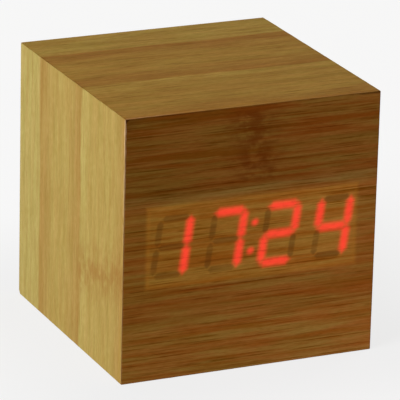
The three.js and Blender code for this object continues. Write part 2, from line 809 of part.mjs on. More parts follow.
// A switch body, with its mounting side at y = 0, and a well for the plunger in its rear face.
function switchBody() {
  const wellDepth = plungerDepth + buttonTravel + slideGap;
  const body = new THREE.BoxGeometry(switchSize, switchHeight, switchSize).translate(0, switchHeight / 2, 0);
  const legs = [-1, 1].flatMap((across) =>
    [-1, 1].map((up) =>
      new THREE.BoxGeometry(switchLegReach * 2, switchLegReach, switchLegWidth)
        .translate((across * switchSize) / 2, switchLegReach / 2, (up * switchSize) / 4),
    ),
  );
  const well = rod(plungerDiameter + 2 * slideGap, wellDepth + cutMargin)
    .translate(0, switchHeight + (cutMargin - wellDepth) / 2, 0);
  return cut(join(body, ...legs), well);
}

// The inlet: a square body on the key board, a round nose in the cover's hole, and the socket.
function jackBody(length) {
  const bodyLength = length - jackNoseLength;
  const body = new THREE.BoxGeometry(jackSize, bodyLength, jackSize).translate(0, bodyLength / 2, 0);
  const nose = rod(jackNoseDiameter, length - bodyLength / 2).translate(0, (length + bodyLength / 2) / 2, 0);
  const socketDepth = length - jackFloor;
  const socket = rod(jackBore, socketDepth + cutMargin)
    .translate(0, jackFloor + (socketDepth + cutMargin) / 2, 0);
  return cut(join(body, nose), socket);
}

function rearFittings() {
  const group = new THREE.Group();
  group.add(piece("rear_cover", rearCover(), finishes.blackPlastic, 0, coverOuter, 0));
  group.add(piece("battery_door", batteryDoor(), finishes.blackPlastic, 0, coverOuter, openingBottom));
  cornerPlaces.forEach(([x, z], i) => {
    const seat = coverOuter - screwSeat + glueGap;
    group.add(piece(`rear_cover_screw_${i + 1}`, screw(coverScrew), finishes.steel, x, seat, z));
  });
  const plungerLength = plungerReach + plungerDepth;
  const plungerPlace = plungerTop - plungerLength / 2;
  keyNames.forEach((key, i) => {
    const x = buttonPlaces[i];
    const plunger = rod(plungerDiameter, plungerLength);
    const bodyPlace = [x, keyBoardFront + glueGap, keyRowMiddle];
    group.add(
      piece(`button_${key}`, buttonCap(), finishes.blackPlastic, x, coverOuter, keyRowMiddle),
      piece(`switch_plunger_${key}`, plunger, finishes.blackPlastic, x, plungerPlace, keyRowMiddle),
      piece(`switch_body_${key}`, switchBody(), finishes.steel, ...bodyPlace),
    );
  });
  group.add(...keyBoardPieces());
  return group;
}

function keyBoardPieces() {
  const board = rectangle(keyBoardWidth, keyBoardHeight);
  board.holes.push(...postPlaces.map((x) => circle(boardScrew.shank + 2 * slideGap, x, 0, screwSides)));
  const jackSeat = keyBoardFront + glueGap;
  const jackLength = coverOuter - jackRecess - jackSeat;
  const pinLength = jackLength - jackFloor - glueGap - jackPinInset;
  const pin = rod(jackPinDiameter, pinLength, screwSides);
  const pinPlace = jackSeat + jackFloor + glueGap + pinLength / 2;
  const screws = postPlaces.map((x, i) => {
    const fixing = screw(boardScrew).rotateX(Math.PI);
    const name = `key_board_screw_${i + 1}`;
    return piece(name, fixing, finishes.steel, x, keyBoardBack - glueGap, keyRowMiddle);
  });
  return [
    piece("key_board", plate(board, circuitThickness), finishes.circuit, 0, keyBoardFront, keyRowMiddle),
    piece("dc_jack", jackBody(jackLength), finishes.blackPlastic, jackPlace, jackSeat, keyRowMiddle),
    piece("dc_jack_pin", pin, finishes.brass, jackPlace, pinPlace, keyRowMiddle),
    ...screws,
  ];
}

// A cell along X, centred, with its nub at +X.
function cell() {
  const canLength = cellLength - cellNubLength;
  const end = -cellLength / 2;
  return turned([
    [0, end],
    ...roundedEdge(cellDiameter, end, cellEdge, 1).reverse(),
    ...roundedEdge(cellDiameter, end + canLength, cellEdge, -1),
    [cellNubDiameter, end + canLength],
    [cellNubDiameter, end + cellLength],
    [0, end + cellLength],
  ]).rotateZ(-Math.PI / 2);
}

// A conical contact spring along X. Its wide end stands at x = 0, and it narrows towards +X.
class SpringPath extends THREE.Curve {
  getPoint(t, target = new THREE.Vector3()) {
    const angle = 2 * Math.PI * springTurns * t;
    const radius = THREE.MathUtils.lerp(springBaseDiameter, springTipDiameter, t) / 2 - springWire / 2;
    const inset = springWire / 2 + glueGap;
    const x = THREE.MathUtils.lerp(inset, springLength - inset, t);
    return target.set(x, radius * Math.cos(angle), radius * Math.sin(angle));
  }
}

// Least air between one turn of the spring and the next, measured on points of its path.
function leastSpringGap(path) {
  const points = path.getPoints(Math.round(springPointsPerTurn * springTurns));
  let least = Infinity;
  points.forEach((point, i) => {
    for (let j = i + springPointsPerTurn / 2; j < points.length; j += 1) {
      least = Math.min(least, point.distanceTo(points[j]));
    }
  });
  return least - springWire;
}

function batteries() {
  const group = new THREE.Group();
  const springPath = new SpringPath();
  console.log(`contact spring: least gap between turns ${leastSpringGap(springPath).toFixed(2)} mm`);
  const steps = Math.round(springStepsPerTurn * springTurns);
  const nubGap = contactSeat + slideGap;
  for (let i = 0; i < cellCount; i += 1) {
    const side = i % 2 === 0 ? -1 : 1; // the end that the nub points to
    const z = cellPlace(i);
    const body = side > 0 ? cell() : cell().rotateZ(Math.PI);
    const x = side * (bayLength / 2 - nubGap - cellLength / 2);
    const spring = wire(springPath, springWire, steps, springSides);
    if (side > 0) spring.translate(contactSeat - bayLength / 2, 0, 0);
    else spring.rotateZ(Math.PI).translate(bayLength / 2 - contactSeat, 0, 0);
    group.add(
      piece(`cell_${i + 1}`, body, finishes.cell, x, cellMiddle, z),
      piece(`contact_spring_${i + 1}`, spring, finishes.steel, 0, cellMiddle, z),
    );
  }
  group.add(...contactPlates.map(contactPlate));
  return group;
}

// A contact plate stands on the bay's floor, against an end wall, across the cells that it touches.
// A tagged one has a solder tag that reaches through the floor.
function contactPlate({ name, side, first, last, tagged }) {
  const height = cellPlace(first) - cellPlace(last) + contactWidth;
  const rise = cellMiddle - bayFloor + contactWidth / 2 - glueGap;
  const sheet = new THREE.BoxGeometry(contactThickness, rise, height).translate(0, glueGap + rise / 2, 0);
  const tagTop = glueGap + contactThickness;
  const tagLength = tagTop + bayWall + tagReach;
  const tag = new THREE.BoxGeometry(contactThickness, tagLength, tagWidth)
    .translate(0, tagTop - tagLength / 2, 0);
  const shape = tagged ? join(sheet, tag) : sheet;
  const middle = (cellPlace(first) + cellPlace(last)) / 2;
  return piece(name, shape, finishes.steel, side * contactPlace, bayFloor, middle);
}

// The link ribbon runs from the key board forward to the display board.
function linkRibbon() {
  const start = [keyBoardBack - glueGap, keyRowMiddle];
  const end = [displayBoardBack + glueGap, displayRise + (displayBoardHeight - displayBoardFlange) / 2];
  const route = [
    start,
    [start[0] - ribbonStraight, start[1]],
    [(start[0] + end[0]) / 2, (start[1] + end[1]) / 2 - ribbonSag],
    [end[0] + ribbonStraight, end[1]],
    end,
  ];
  const path = new THREE.CatmullRomCurve3(route.map(([y, z]) => new THREE.Vector3(0, y, z)));
  const stations = path.getPoints(ribbonSteps).map((point, i) => {
    const along = path.getTangent(i / ribbonSteps);
    return { point, offset: new THREE.Vector3(0, -along.z, along.y).multiplyScalar(ribbonThickness / 2) };
  });
  const upper = stations.map(({ point, offset }) => [point.y + offset.y, point.z + offset.z]);
  const lower = stations.map(({ point, offset }) => [point.y - offset.y, point.z - offset.z]);
  return barAlongX([...upper, ...lower.reverse()], ribbonWidth);
}

// A battery lead goes from a contact plate's solder tag up to the back of the key board.
function batteryLead({ side, first }) {
  const tagX = side * contactPlace;
  const tagY = bayRear - tagReach - glueGap;
  const start = new THREE.Vector3(tagX, tagY, cellPlace(first));
  const end = new THREE.Vector3(side * leadEnd, keyBoardBack - glueGap, keyRowMiddle - leadDrop);
  const path = new THREE.CatmullRomCurve3([
    start,
    new THREE.Vector3(tagX, tagY - leadStraight, start.z),
    new THREE.Vector3(side * leadShoulder, tagY - leadBow, bayTop - leadDrop),
    new THREE.Vector3(end.x, tagY - leadStraight, end.z - leadDrop),
    new THREE.Vector3(end.x, end.y - leadStraight, end.z),
    end,
  ]);
  return wire(path, leadDiameter, leadSteps, wireSides);
}

function wiring() {
  const group = new THREE.Group();
  group.add(
    piece("link_ribbon", linkRibbon(), finishes.ribbon, 0, 0, 0),
    piece("battery_lead_positive", batteryLead(taggedPlates[0]), finishes.redWire, 0, 0, 0),
    piece("battery_lead_negative", batteryLead(taggedPlates[1]), finishes.blackWire, 0, 0, 0),
  );
  return group;
}

const clock = new THREE.Group();
clock.add(woodenCase(), display(), rearFittings(), batteries(), wiring());
for (const group of clock.children) group.position.z += half;

export default clock;
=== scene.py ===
# %% [markdown]
# # A cube desk clock in bamboo
# The clock is a wooden cube of sixty millimetres. Four digits of light shine through its thin front
# sheet, and nothing else on the front says that it is a clock. Behind, a recessed black cover holds
# three push buttons, a power inlet and the battery door.
#
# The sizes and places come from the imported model, which is loaded first and never moved. Everything
# made below sits where that model says, rides on one of its bodies, and is measured in metres.

import json
import math
from itertools import pairwise

import bmesh
import bpy
from mathutils import Matrix, Vector


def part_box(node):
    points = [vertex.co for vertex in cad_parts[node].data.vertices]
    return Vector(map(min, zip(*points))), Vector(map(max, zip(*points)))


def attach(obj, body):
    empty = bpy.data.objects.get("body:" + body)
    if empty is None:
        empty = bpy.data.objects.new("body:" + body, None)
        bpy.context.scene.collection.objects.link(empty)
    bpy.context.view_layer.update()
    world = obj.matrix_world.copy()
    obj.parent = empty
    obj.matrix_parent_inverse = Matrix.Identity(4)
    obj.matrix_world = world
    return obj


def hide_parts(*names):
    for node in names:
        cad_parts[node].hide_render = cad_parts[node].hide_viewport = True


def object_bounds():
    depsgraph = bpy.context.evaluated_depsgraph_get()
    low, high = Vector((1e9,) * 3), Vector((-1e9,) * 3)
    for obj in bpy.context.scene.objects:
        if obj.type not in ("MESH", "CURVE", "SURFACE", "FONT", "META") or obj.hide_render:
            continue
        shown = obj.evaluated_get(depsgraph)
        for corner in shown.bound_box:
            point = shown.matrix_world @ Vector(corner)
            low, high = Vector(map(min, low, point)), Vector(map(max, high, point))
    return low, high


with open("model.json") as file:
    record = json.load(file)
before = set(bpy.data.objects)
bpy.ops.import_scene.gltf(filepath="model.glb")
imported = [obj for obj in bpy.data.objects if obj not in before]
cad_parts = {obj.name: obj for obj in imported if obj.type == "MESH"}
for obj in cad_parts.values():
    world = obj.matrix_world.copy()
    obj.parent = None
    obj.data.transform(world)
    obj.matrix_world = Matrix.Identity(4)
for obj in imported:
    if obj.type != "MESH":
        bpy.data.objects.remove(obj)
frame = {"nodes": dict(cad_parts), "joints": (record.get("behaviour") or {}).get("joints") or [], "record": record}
cad_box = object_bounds()
MM = 0.001
cube_size = cad_box[1].z - cad_box[0].z
side = cube_size / MM
cube_middle = (cad_box[0] + cad_box[1]) / 2
node_slot = {row["node"]: row["material_slot"] for row in frame["record"]["subparts"]}
node_body = {
    node: body for body, members in frame["record"]["behaviour"]["bodies"].items() for node in members
}


def box_mm(node):
    """The lowest and the highest corner of a node's box, in millimetres."""
    return [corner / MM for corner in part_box(node)]


# %% [markdown]
# ## The camera
# The photograph was taken from a little above and from the left, with a long lens, so the cube's
# edges hardly converge. A camera could be pointed with a constraint, but its small roll would be lost.
# Instead the three axes of the view are worked out from the angles, and written as a matrix.

# %% Place the camera
VIEW_AZIMUTH = math.radians(-24.62)
VIEW_ELEVATION = math.radians(19.11)
VIEW_ROLL = math.radians(1.45)
VIEW_DISTANCE = 806.6 * MM
VIEW_LENS = 325.9
AIM_RIGHT = 1.2 * MM
AIM_UP = -1.14 * MM

back = Vector((
    math.sin(VIEW_AZIMUTH) * math.cos(VIEW_ELEVATION),
    -math.cos(VIEW_AZIMUTH) * math.cos(VIEW_ELEVATION),
    math.sin(VIEW_ELEVATION),
))
level = Vector((0, 0, 1)).cross(back).normalized()
upright = back.cross(level)
right = math.cos(VIEW_ROLL) * level + math.sin(VIEW_ROLL) * upright
up = math.cos(VIEW_ROLL) * upright - math.sin(VIEW_ROLL) * level

bpy.ops.object.camera_add()
camera = bpy.context.object
camera.data.lens = VIEW_LENS
camera.matrix_world = Matrix.Translation(
    cube_middle + AIM_RIGHT * right + AIM_UP * up + VIEW_DISTANCE * back
) @ Matrix((right, up, back)).transposed().to_4x4()
bpy.context.scene.camera = camera
bpy.context.scene.view_settings.view_transform = "Standard"
print(f"camera {VIEW_DISTANCE:.2f} m away, lens {VIEW_LENS:.0f} mm")

# %% [markdown]
# ## Shader arithmetic
# A finish is easiest to read as a formula, such as `tone * (1 - fibre)`. Blender keeps formulas as
# nodes, so this small class wraps one output of a node: arithmetic on it adds Math nodes, and every
# other node is added by one method, which sets the node's own settings first and then its sockets.

# %% A socket that understands arithmetic
class Wire:
    """One output of a shader node. Arithmetic on it adds Math nodes to the same tree."""

    def __init__(self, tree, socket=None):
        self.tree = tree
        self.socket = socket

    def node(self, kind, settings=None, sockets=None, output=0):
        """Add any node: its settings first, then its sockets' values or links. Gives one output."""
        made = self.tree.nodes.new(kind)
        for name, value in (settings or {}).items():
            if name == "stops":
                set_stops(made.color_ramp, value)
            else:
                setattr(made, name, value)
        for name, value in (sockets or {}).items():
            if isinstance(value, Wire):
                self.tree.links.new(value.socket, made.inputs[name])
            else:
                made.inputs[name].default_value = value
        return Wire(self.tree, made.outputs[output] if made.outputs else None)

    def math(self, operation, *values):
        return self.node("ShaderNodeMath", {"operation": operation}, dict(enumerate(values)))

    def __add__(self, other):
        return self.math("ADD", self, other)

    def __sub__(self, other):
        return self.math("SUBTRACT", self, other)

    def __rsub__(self, other):
        return self.math("SUBTRACT", other, self)

    def __mul__(self, other):
        return self.math("MULTIPLY", self, other)

    def __truediv__(self, other):
        return self.math("DIVIDE", self, other)

    def __abs__(self):
        return self.math("ABSOLUTE", self)

    __radd__ = __add__
    __rmul__ = __mul__

    def at_least(self, other):
        return self.math("MAXIMUM", self, other)

    def at_most(self, other):
        return self.math("MINIMUM", self, other)

    def ease(self, start, end):
        """0 up to start, 1 from end on, and smooth between them."""
        settings = {"interpolation_type": "SMOOTHSTEP"}
        return self.node("ShaderNodeMapRange", settings, {0: self, 1: start, 2: end})

    def colours(self, share, first, second, blend="MIX"):
        """Two colours in a Mix node, with a share of the second one."""
        settings = {"data_type": "RGBA", "blend_type": blend}
        return self.node("ShaderNodeMix", settings, {0: share, 6: first, 7: second}, output=2)

    def mix(self, first, second):
        """The first colour where this value is 0, and the second where it is 1."""
        return self.colours(self, first, second)

    def blend(self, colour, share):
        """This colour with a share of another one in it."""
        return self.colours(share, self, colour)

    def tinted(self, tint):
        """This colour seen through a tint."""
        return self.colours(1.0, self, tint, "MULTIPLY")

    def ramp(self, stops):
        """A colour for each value, from stops of (value, colour)."""
        return self.node("ShaderNodeValToRGB", {"stops": stops}, {0: self})


def set_stops(color_ramp, stops):
    """Give a colour ramp its stops."""
    while len(color_ramp.elements) < len(stops):
        color_ramp.elements.new(1.0)
    for element, (place, colour) in zip(color_ramp.elements, stops):
        element.position = place
        element.color = colour


def paint(red, green, blue):
    """A colour as a paint chart gives it, from 0 to 255, in the linear values that shaders use."""
    shares = [value / 255 for value in (red, green, blue)]
    linear = [s / 12.92 if s <= 0.04045 else ((s + 0.055) / 1.055) ** 2.4 for s in shares]
    return (*linear, 1.0)


print("shader class ready")

# %% [markdown]
# ## What every finish starts from
# Each finish is one material with Blender's Principled shader. Patterns are placed by the piece's own
# coordinates, turned into millimetres, so that a fibre of a fifth of a millimetre is written as 0.2.
# Noise that is squeezed in one direction makes fibres, streaks and grain alike.

# %% Start a finish
def start_finish(name, **fixed):
    """A new material. Gives its shader, and the x, y and z of a point on the piece in millimetres."""
    material = bpy.data.materials.new(name)
    material.use_nodes = True
    shader = material.node_tree.nodes["Principled BSDF"]
    for socket, value in fixed.items():
        shader.inputs[socket.replace("_", " ")].default_value = value
    place = Wire(material.node_tree).node("ShaderNodeTexCoord", output="Object")
    axes = [place.node("ShaderNodeSeparateXYZ", sockets={0: place}, output=axis) / MM for axis in "XYZ"]
    return material, shader, axes


def feed(shader, **wires):
    """Link patterns to the shader's sockets."""
    for socket, wire in wires.items():
        wire.tree.links.new(wire.socket, shader.inputs[socket.replace("_", " ")])


def noise(x, y, z, detail=2.0, roughness=0.5):
    """Noise from 0 to 1, with blotches about as large as one unit of each coordinate.

    Detail adds smaller ones, and roughness says how strong they are. A coordinate that is a plain
    number is a seed: another number gives another pattern.
    """
    wire = next(value for value in (x, y, z) if isinstance(value, Wire))
    place = wire.node("ShaderNodeCombineXYZ", sockets={0: x, 1: y, 2: z})
    sockets = {"Vector": place, "Scale": 1.0, "Detail": detail, "Roughness": roughness}
    return place.node("ShaderNodeTexNoise", sockets=sockets)


def blotches(axes, size, detail=2.0):
    """Noise in round blotches of about this size in millimetres."""
    return noise(*(axis / size for axis in axes), detail)


def bump(height, depth):
    """A normal for a surface whose height goes from 0 to 1, which is this deep in millimetres."""
    return height.node("ShaderNodeBump", sockets={"Height": height, "Distance": depth * MM})


print("finish helpers ready")

# %% [markdown]
# ## Bamboo
# Bamboo veneer is sliced from strips that were glued side by side. Each strip has its own tone, and
# inside it run streaks, fine dark fibres and short pores. Where the cane had a joint, the fibres smear
# into a darker blotch. A picture of wood could be wrapped round the cube, but a pattern that is worked
# out has no seams and stays sharp from close by. So each layer is noise, drawn out along the grain.

# %% Layers of the wood
PORE_LIGHT = (1.05, 1.06, 1.13, 1.0)
PORE_DARK = (0.95, 0.94, 0.87, 1.0)
PORE_LENGTH = 1.6
PORE_WIDTH = 0.32
JOINT_RAGGED = 12
JOINT_SOFT = 1
EDGE_LINE_RAGGED = 2.5
EDGE_LINE_PATCHY = 0.6


def streaks(along, across, length, width, seed, detail=2.0, roughness=0.5):
    """Noise drawn out along the grain, in streaks of about this length and width in millimetres."""
    return noise(along / length, across / width, seed, detail, roughness)


def strip_tones(across, strips):
    """Colours of the glued strips, from (millimetres across, colour)."""
    width = strips[-1][0]
    return (across / width).ramp([(place / width, colour) for place, colour in strips])


def pored(tone, along, across, seed):
    """Wood with its fine pores, which are short dark and pale dashes."""
    pores = streaks(along, across, PORE_LENGTH, PORE_WIDTH, seed, detail=1.0)
    return tone.tinted(pores.ease(0.3, 0.7).mix(PORE_DARK, PORE_LIGHT))


def cane_joint(along, across, place, slope, start, end, reach):
    """A broken smear across the grain from start to end, which fades out within its reach.

    Its place along the grain drifts by the slope.
    """
    ragged = streaks(along, across, length=4, width=0.8, seed=31, detail=3.0) - 0.5
    distance = abs(along - (across - start) * slope - place + ragged * JOINT_RAGGED)
    begun = across.ease(start - JOINT_SOFT, start + JOINT_SOFT)
    ended = across.ease(end - JOINT_SOFT, end + JOINT_SOFT)
    broken = streaks(along, across, length=3.2, width=2.4, seed=37, detail=3.0, roughness=0.55)
    return (1 - distance.ease(0, reach)) * begun * (1 - ended) * broken.ease(0.32, 0.6)


def worn_and_highlit_line(inset, along, width):
    """1 on a ragged line at an edge, about as wide as given, from the distance to the edge. The pale line is
    partly rubbed wear and partly a painted highlight.
    """
    ragged = noise(along / 1.6, 1.0, 71.0, detail=3.0) - 0.5
    patchy = noise(along / 4, 1.0, 79.0).ease(0.35, 0.6) * EDGE_LINE_PATCHY + (1 - EDGE_LINE_PATCHY)
    return (1 - (inset + ragged * EDGE_LINE_RAGGED * width).ease(0.6 * width, 1.6 * width)) * patchy


def edge_paleness(first, second, start, end):
    """A rule for how pale an edge is, partly by wear and partly by a painted highlight: it changes between two
    places, in sides of the cube.
    """
    return lambda place: first + place.ease(start * side, end * side) * (second - first)


print("layers of the wood ready")

# %% [markdown]
# ## The folded band
# Four sheets of the case are one band, folded over the edges: the strips on the left side carry on
# over the top. So the pattern is written for two lengths, along the band and across it, and each sheet
# only says how these follow from its own coordinates. Light and dark streaks multiply the tone of
# their strip, so that every strip keeps its own colour.

# %% Tones of the band
PALE_STRAW = paint(190, 167, 97)
STRAW = paint(184, 153, 83)
OLIVE_STRAW = paint(192, 168, 96)
HONEY = paint(178, 140, 75)
CARAMEL = paint(173, 130, 66)
AMBER = paint(180, 136, 66)
FIBRE = paint(138, 100, 44)
CANE_JOINT = paint(160, 106, 46)
# The pale colour of the front edges: partly rubbed wear, partly a painted highlight.
WORN_AND_HIGHLIT_EDGE = paint(206, 166, 122)
GREENISH = (0.975, 1.0, 0.9, 1.0)
REDDISH = (1.0, 0.96, 0.885, 1.0)
GRAIN_LIGHT = (1.085, 1.115, 1.2, 1.0)
GRAIN_DARK = (0.90, 0.87, 0.79, 1.0)
PLAIN = (0.93, 0.98, 1.05, 1.0)
# The warm cast of the band's painted shaded copy.
SHADED_FACE_TINT = (1.25, 1.17, 1.17, 1.0)
BAND_STRIPS = [
    (0, PALE_STRAW), (11.6, PALE_STRAW), (12.4, CARAMEL), (16, HONEY), (20, STRAW), (28, STRAW),
    (32, HONEY), (35.4, CARAMEL), (36.4, OLIVE_STRAW), (42, STRAW), (53, STRAW), (58, HONEY),
    (59, AMBER), (60, AMBER),
]
print(f"{len(BAND_STRIPS)} stops over {BAND_STRIPS[-1][0]} mm")

# %% Finish of one sheet
SATIN = {"Specular_IOR_Level": 0.02}
SATIN_ROUGHNESS = 0.55
FIBRE_ROUGHNESS = 0.12
FIBRE_DEPTH = 0.015
FIBRE_SHARE = 0.24
STRIP_SWAY = 2.5
STRIP_FRAY = 2
STRIP_LIKENESS = 0.3
JOINT_SHARE = 0.55
RUBBED_AND_HIGHLIT_WIDTH = 0.5


def sand(shader, fibre):
    """Sanded wood: satin, and a little rougher and lower in its dark fibres."""
    feed(shader, Roughness=SATIN_ROUGHNESS + fibre * FIBRE_ROUGHNESS)
    feed(shader, Normal=bump(1 - fibre, FIBRE_DEPTH))


def band_finish(name, along_of, tint, depth, reach, streak, worn, joint=None):
    """The finish of one sheet of the band. along_of gives the place along the band, from x and z.

    tint and depth are a colour cast, and a power that deepens all tones; on the sheets that face up and down
    they make a painted shaded copy of the band. reach and streak are about the length and width of the
    widest streaks in millimetres. worn says how pale the front edge is, by wear and by a painted highlight,
    from the place along the band.
    """
    material, shader, (x, y, z) = start_finish(name, **SATIN)
    along = along_of(x, z)
    across = cad_box[1].y / MM - y
    sway = streaks(along, across, length=24, width=9, seed=3) - 0.5
    grain = streaks(along, across, reach, streak, seed=5, detail=5.0, roughness=0.72)
    frayed = across + sway * STRIP_SWAY + (grain - 0.5) * STRIP_FRAY
    tone = strip_tones(frayed, BAND_STRIPS).blend(STRAW, STRIP_LIKENESS)
    tone = tone.tinted(grain.ease(0.34, 0.66).mix(GRAIN_DARK, GRAIN_LIGHT))
    hue = streaks(along, across, length=16, width=streak, seed=13)
    tone = tone.tinted(hue.ease(0.35, 0.65).mix(REDDISH, GREENISH))
    fibre = streaks(along, across, length=9, width=streak / 5, seed=17, detail=3.0, roughness=0.6)
    fibre = fibre.ease(0.5, 0.75)
    tone = (fibre * FIBRE_SHARE * streak).mix(tone, FIBRE)
    tone = pored(tone, along, across, seed=19)
    if joint:
        tone = (cane_joint(along, across, **joint) * JOINT_SHARE).mix(tone, CANE_JOINT)
    # Painted highlight and wear: a pale ragged line along the front edge of the sheet.
    tone = (worn_and_highlit_line(side - across, along, RUBBED_AND_HIGHLIT_WIDTH) * worn(along)).mix(tone, WORN_AND_HIGHLIT_EDGE)
    tone = tone.node("ShaderNodeGamma", sockets={"Color": tone, "Gamma": depth})
    feed(shader, Base_Color=tone.tinted(tint))
    sand(shader, fibre)
    return material


print("finish of the band ready")

# %% Finish the four sheets
left_joint = {"place": 18.5, "slope": 0.2, "start": 35, "end": 61, "reach": 8}
pale_look = {"tint": PLAIN, "depth": 1.0, "reach": 17, "streak": 1.7}
# Painted shade: the sheets that face up and down get a warmer, deeper copy of the band's tones, standing in for
# the shade the top takes.
painted_shade_look = {"tint": SHADED_FACE_TINT, "depth": 1.3, "reach": 24, "streak": 2.6}
# The left and top sheets' front edges are pale near the upper left front corner, partly wear and partly a painted
# highlight; the far sheets' edges are only worn.
left_wear_and_highlight = edge_paleness(first=0.2, second=0.9, start=0.4, end=0.95)
top_wear_and_highlight = edge_paleness(first=0.8, second=0.2, start=1.05, end=1.25)
far_wear = edge_paleness(first=0, second=0.6, start=0, end=5)
bamboo = {
    "left_veneer": band_finish(
        "bamboo_left", lambda x, z: z, worn=left_wear_and_highlight, joint=left_joint, **pale_look
    ),
    "top_veneer": band_finish(
        "bamboo_top", lambda x, z: x + 1.5 * side, worn=top_wear_and_highlight, **painted_shade_look
    ),
    "right_veneer": band_finish(
        "bamboo_right", lambda x, z: 3 * side - z, worn=far_wear, **pale_look
    ),
    "bottom_veneer": band_finish(
        "bamboo_bottom", lambda x, z: 3.5 * side - x, worn=far_wear, **painted_shade_look
    ),
}
print(f"{len(bamboo)} sheets of the band have their finish")

# %% [markdown]
# ## The front sheet
# The front is a sheet of its own, redder and more streaked, and painted light makes it lighter towards
# its right end. Behind it lies a display module. Where the module touches the sheet, painted light makes
# the wood a little lighter, and its unlit segments are painted shade in dark wells. The lit segments glow
# through the fibres.
#
# The seven segments of a digit are the same for every digit, so each is written once, around the middle
# of its own digit. The place along the row, divided by the pitch, says which digit a point belongs to,
# and the time that is shown says which segments are lit in it. Light spreads in the fibres, so lit
# strokes run together at their corners, and unlit ones are only soft shadows.

# %% Places of the digits
TIME = "1724"
SEGMENTS_OF = {"1": "bc", "2": "abged", "4": "fgbc", "7": "abc"}
DIGIT_PITCH = 12.7
DIGIT_SLANT = math.tan(math.radians(8))
STROKE = 1.4
STROKE_GAP = 0.3
STROKE_ACROSS = 3.5
STROKE_UP = 6.4
COLON_DIAMETER = 1.6
COLON_RISE = 3.2
window_low, window_high = box_mm("diffuser_film")
window_middle = (window_low + window_high) / 2
SEGMENT_PLACES = {
    "a": (0, 1), "g": (0, 0), "d": (0, -1),
    "b": (1, 0.5), "c": (1, -0.5), "e": (-1, -0.5), "f": (-1, 0.5),
}


def segment_edge(u, v, segment):
    """How far a point lies outside a segment, in millimetres, from its place in the upright digit."""
    across, rise = SEGMENT_PLACES[segment]
    du = abs(u - across * STROKE_ACROSS)
    dv = abs(v - rise * STROKE_UP)
    if across:
        du, dv = dv, du
    half_length = (STROKE_UP / 2 if across else STROKE_ACROSS) - STROKE_GAP
    point = (du + dv - half_length) / math.sqrt(2)
    return (dv - STROKE / 2).at_least(point)


print(f"window {window_high.x - window_low.x:.1f} by {window_high.z - window_low.z:.1f} mm")

# %% Masks of the lit and unlit segments
SPREAD = 0.9
DOT_SHRINK = 0.32
FAR = 100.0


def join(first, second):
    """The nearer of two distances, rounded where they are nearly alike."""
    return first.math("SMOOTH_MIN", first, second, SPREAD) if first else second


def display_masks(x, z):
    """How far a point lies outside the nearest lit segment, and outside the nearest of any."""
    v = z - window_middle.z
    row = x - window_middle.x - v * DIGIT_SLANT + DIGIT_PITCH * len(TIME) / 2
    digit = row.math("FLOOR", row / DIGIT_PITCH)
    u = row - (digit + 0.5) * DIGIT_PITCH
    lit_edge, any_edge = None, None
    for segment in SEGMENT_PLACES:
        edge = segment_edge(u, v, segment)
        lit = edge + FAR
        for k, number in enumerate(TIME):
            if segment in SEGMENTS_OF[number]:
                lit = lit - (1 - abs(digit - k).ease(0.4, 0.6)) * FAR
        lit_edge = join(lit_edge, lit)
        any_edge = any_edge.at_most(edge) if any_edge else edge
    dot_v = abs(v) - COLON_RISE
    dot_u = row - DIGIT_PITCH * len(TIME) / 2
    dot = dot_u.math("SQRT", dot_u * dot_u + dot_v * dot_v) - COLON_DIAMETER / 2
    return lit_edge.at_most(dot + DOT_SHRINK), any_edge.at_most(dot)


def inside_window(x, z, margin, soft):
    """1 inside the window, drawn in by a margin, and 0 outside it."""
    from_x = abs(x - window_middle.x) - (window_high.x - window_low.x) / 2 + margin
    from_z = abs(z - window_middle.z) - (window_high.z - window_low.z) / 2 + margin
    return 1 - from_x.at_least(from_z).ease(-soft, soft)


print("display masks ready")

# %% Wood of the front
CHESTNUT = paint(151, 93, 29)
OCHRE = paint(174, 110, 39)
GOLD = paint(184, 121, 46)
DULL_OLIVE = paint(160, 106, 42)
DARK_JOINT = paint(120, 54, 8)
STREAK_LIGHT = (1.12, 1.335, 1.9, 1.0)
STREAK_DARK = (0.895, 0.70, 0.5, 1.0)
GREEN_CAST = (0.95, 1.022, 0.95, 1.0)
RED_CAST = (1.042, 0.915, 0.9, 1.0)
LINE_DARK = (0.56, 0.42, 0.1, 1.0)
# Painted light and shade across the front: darker at its left end, lighter at its right.
PAINTED_SHADE_LEFT_END = (0.82, 0.88, 0.82, 1.0)
PAINTED_LIGHT_RIGHT_END = (1.17, 1.2, 1.38, 1.0)
FRONT_STRIPS = [
    (0, CHESTNUT), (17, CHESTNUT), (18.5, DULL_OLIVE), (21, OCHRE), (47, OCHRE), (49, GOLD), (60, GOLD),
]
UPPER_STRIP = (15, 20)
UPPER_CONTRAST = 1.5
CALM_SHARE = 0.5
SMUDGE_SHARE = 0.75
RIM_GLUE = 0.35
# The right corner's mark is glue and painted shade in the gap; the left corner's shade is painted shade.
CORNER_GLUE_AND_SHADE = 0.5
DOT_GLUE = 0.8
CORNER_SHADE_SHARE = 0.3
MOST_GLUE_AND_SHADE = 0.9
front_joint = {"place": 29, "slope": 0.15, "start": 1, "end": 17, "reach": 9}


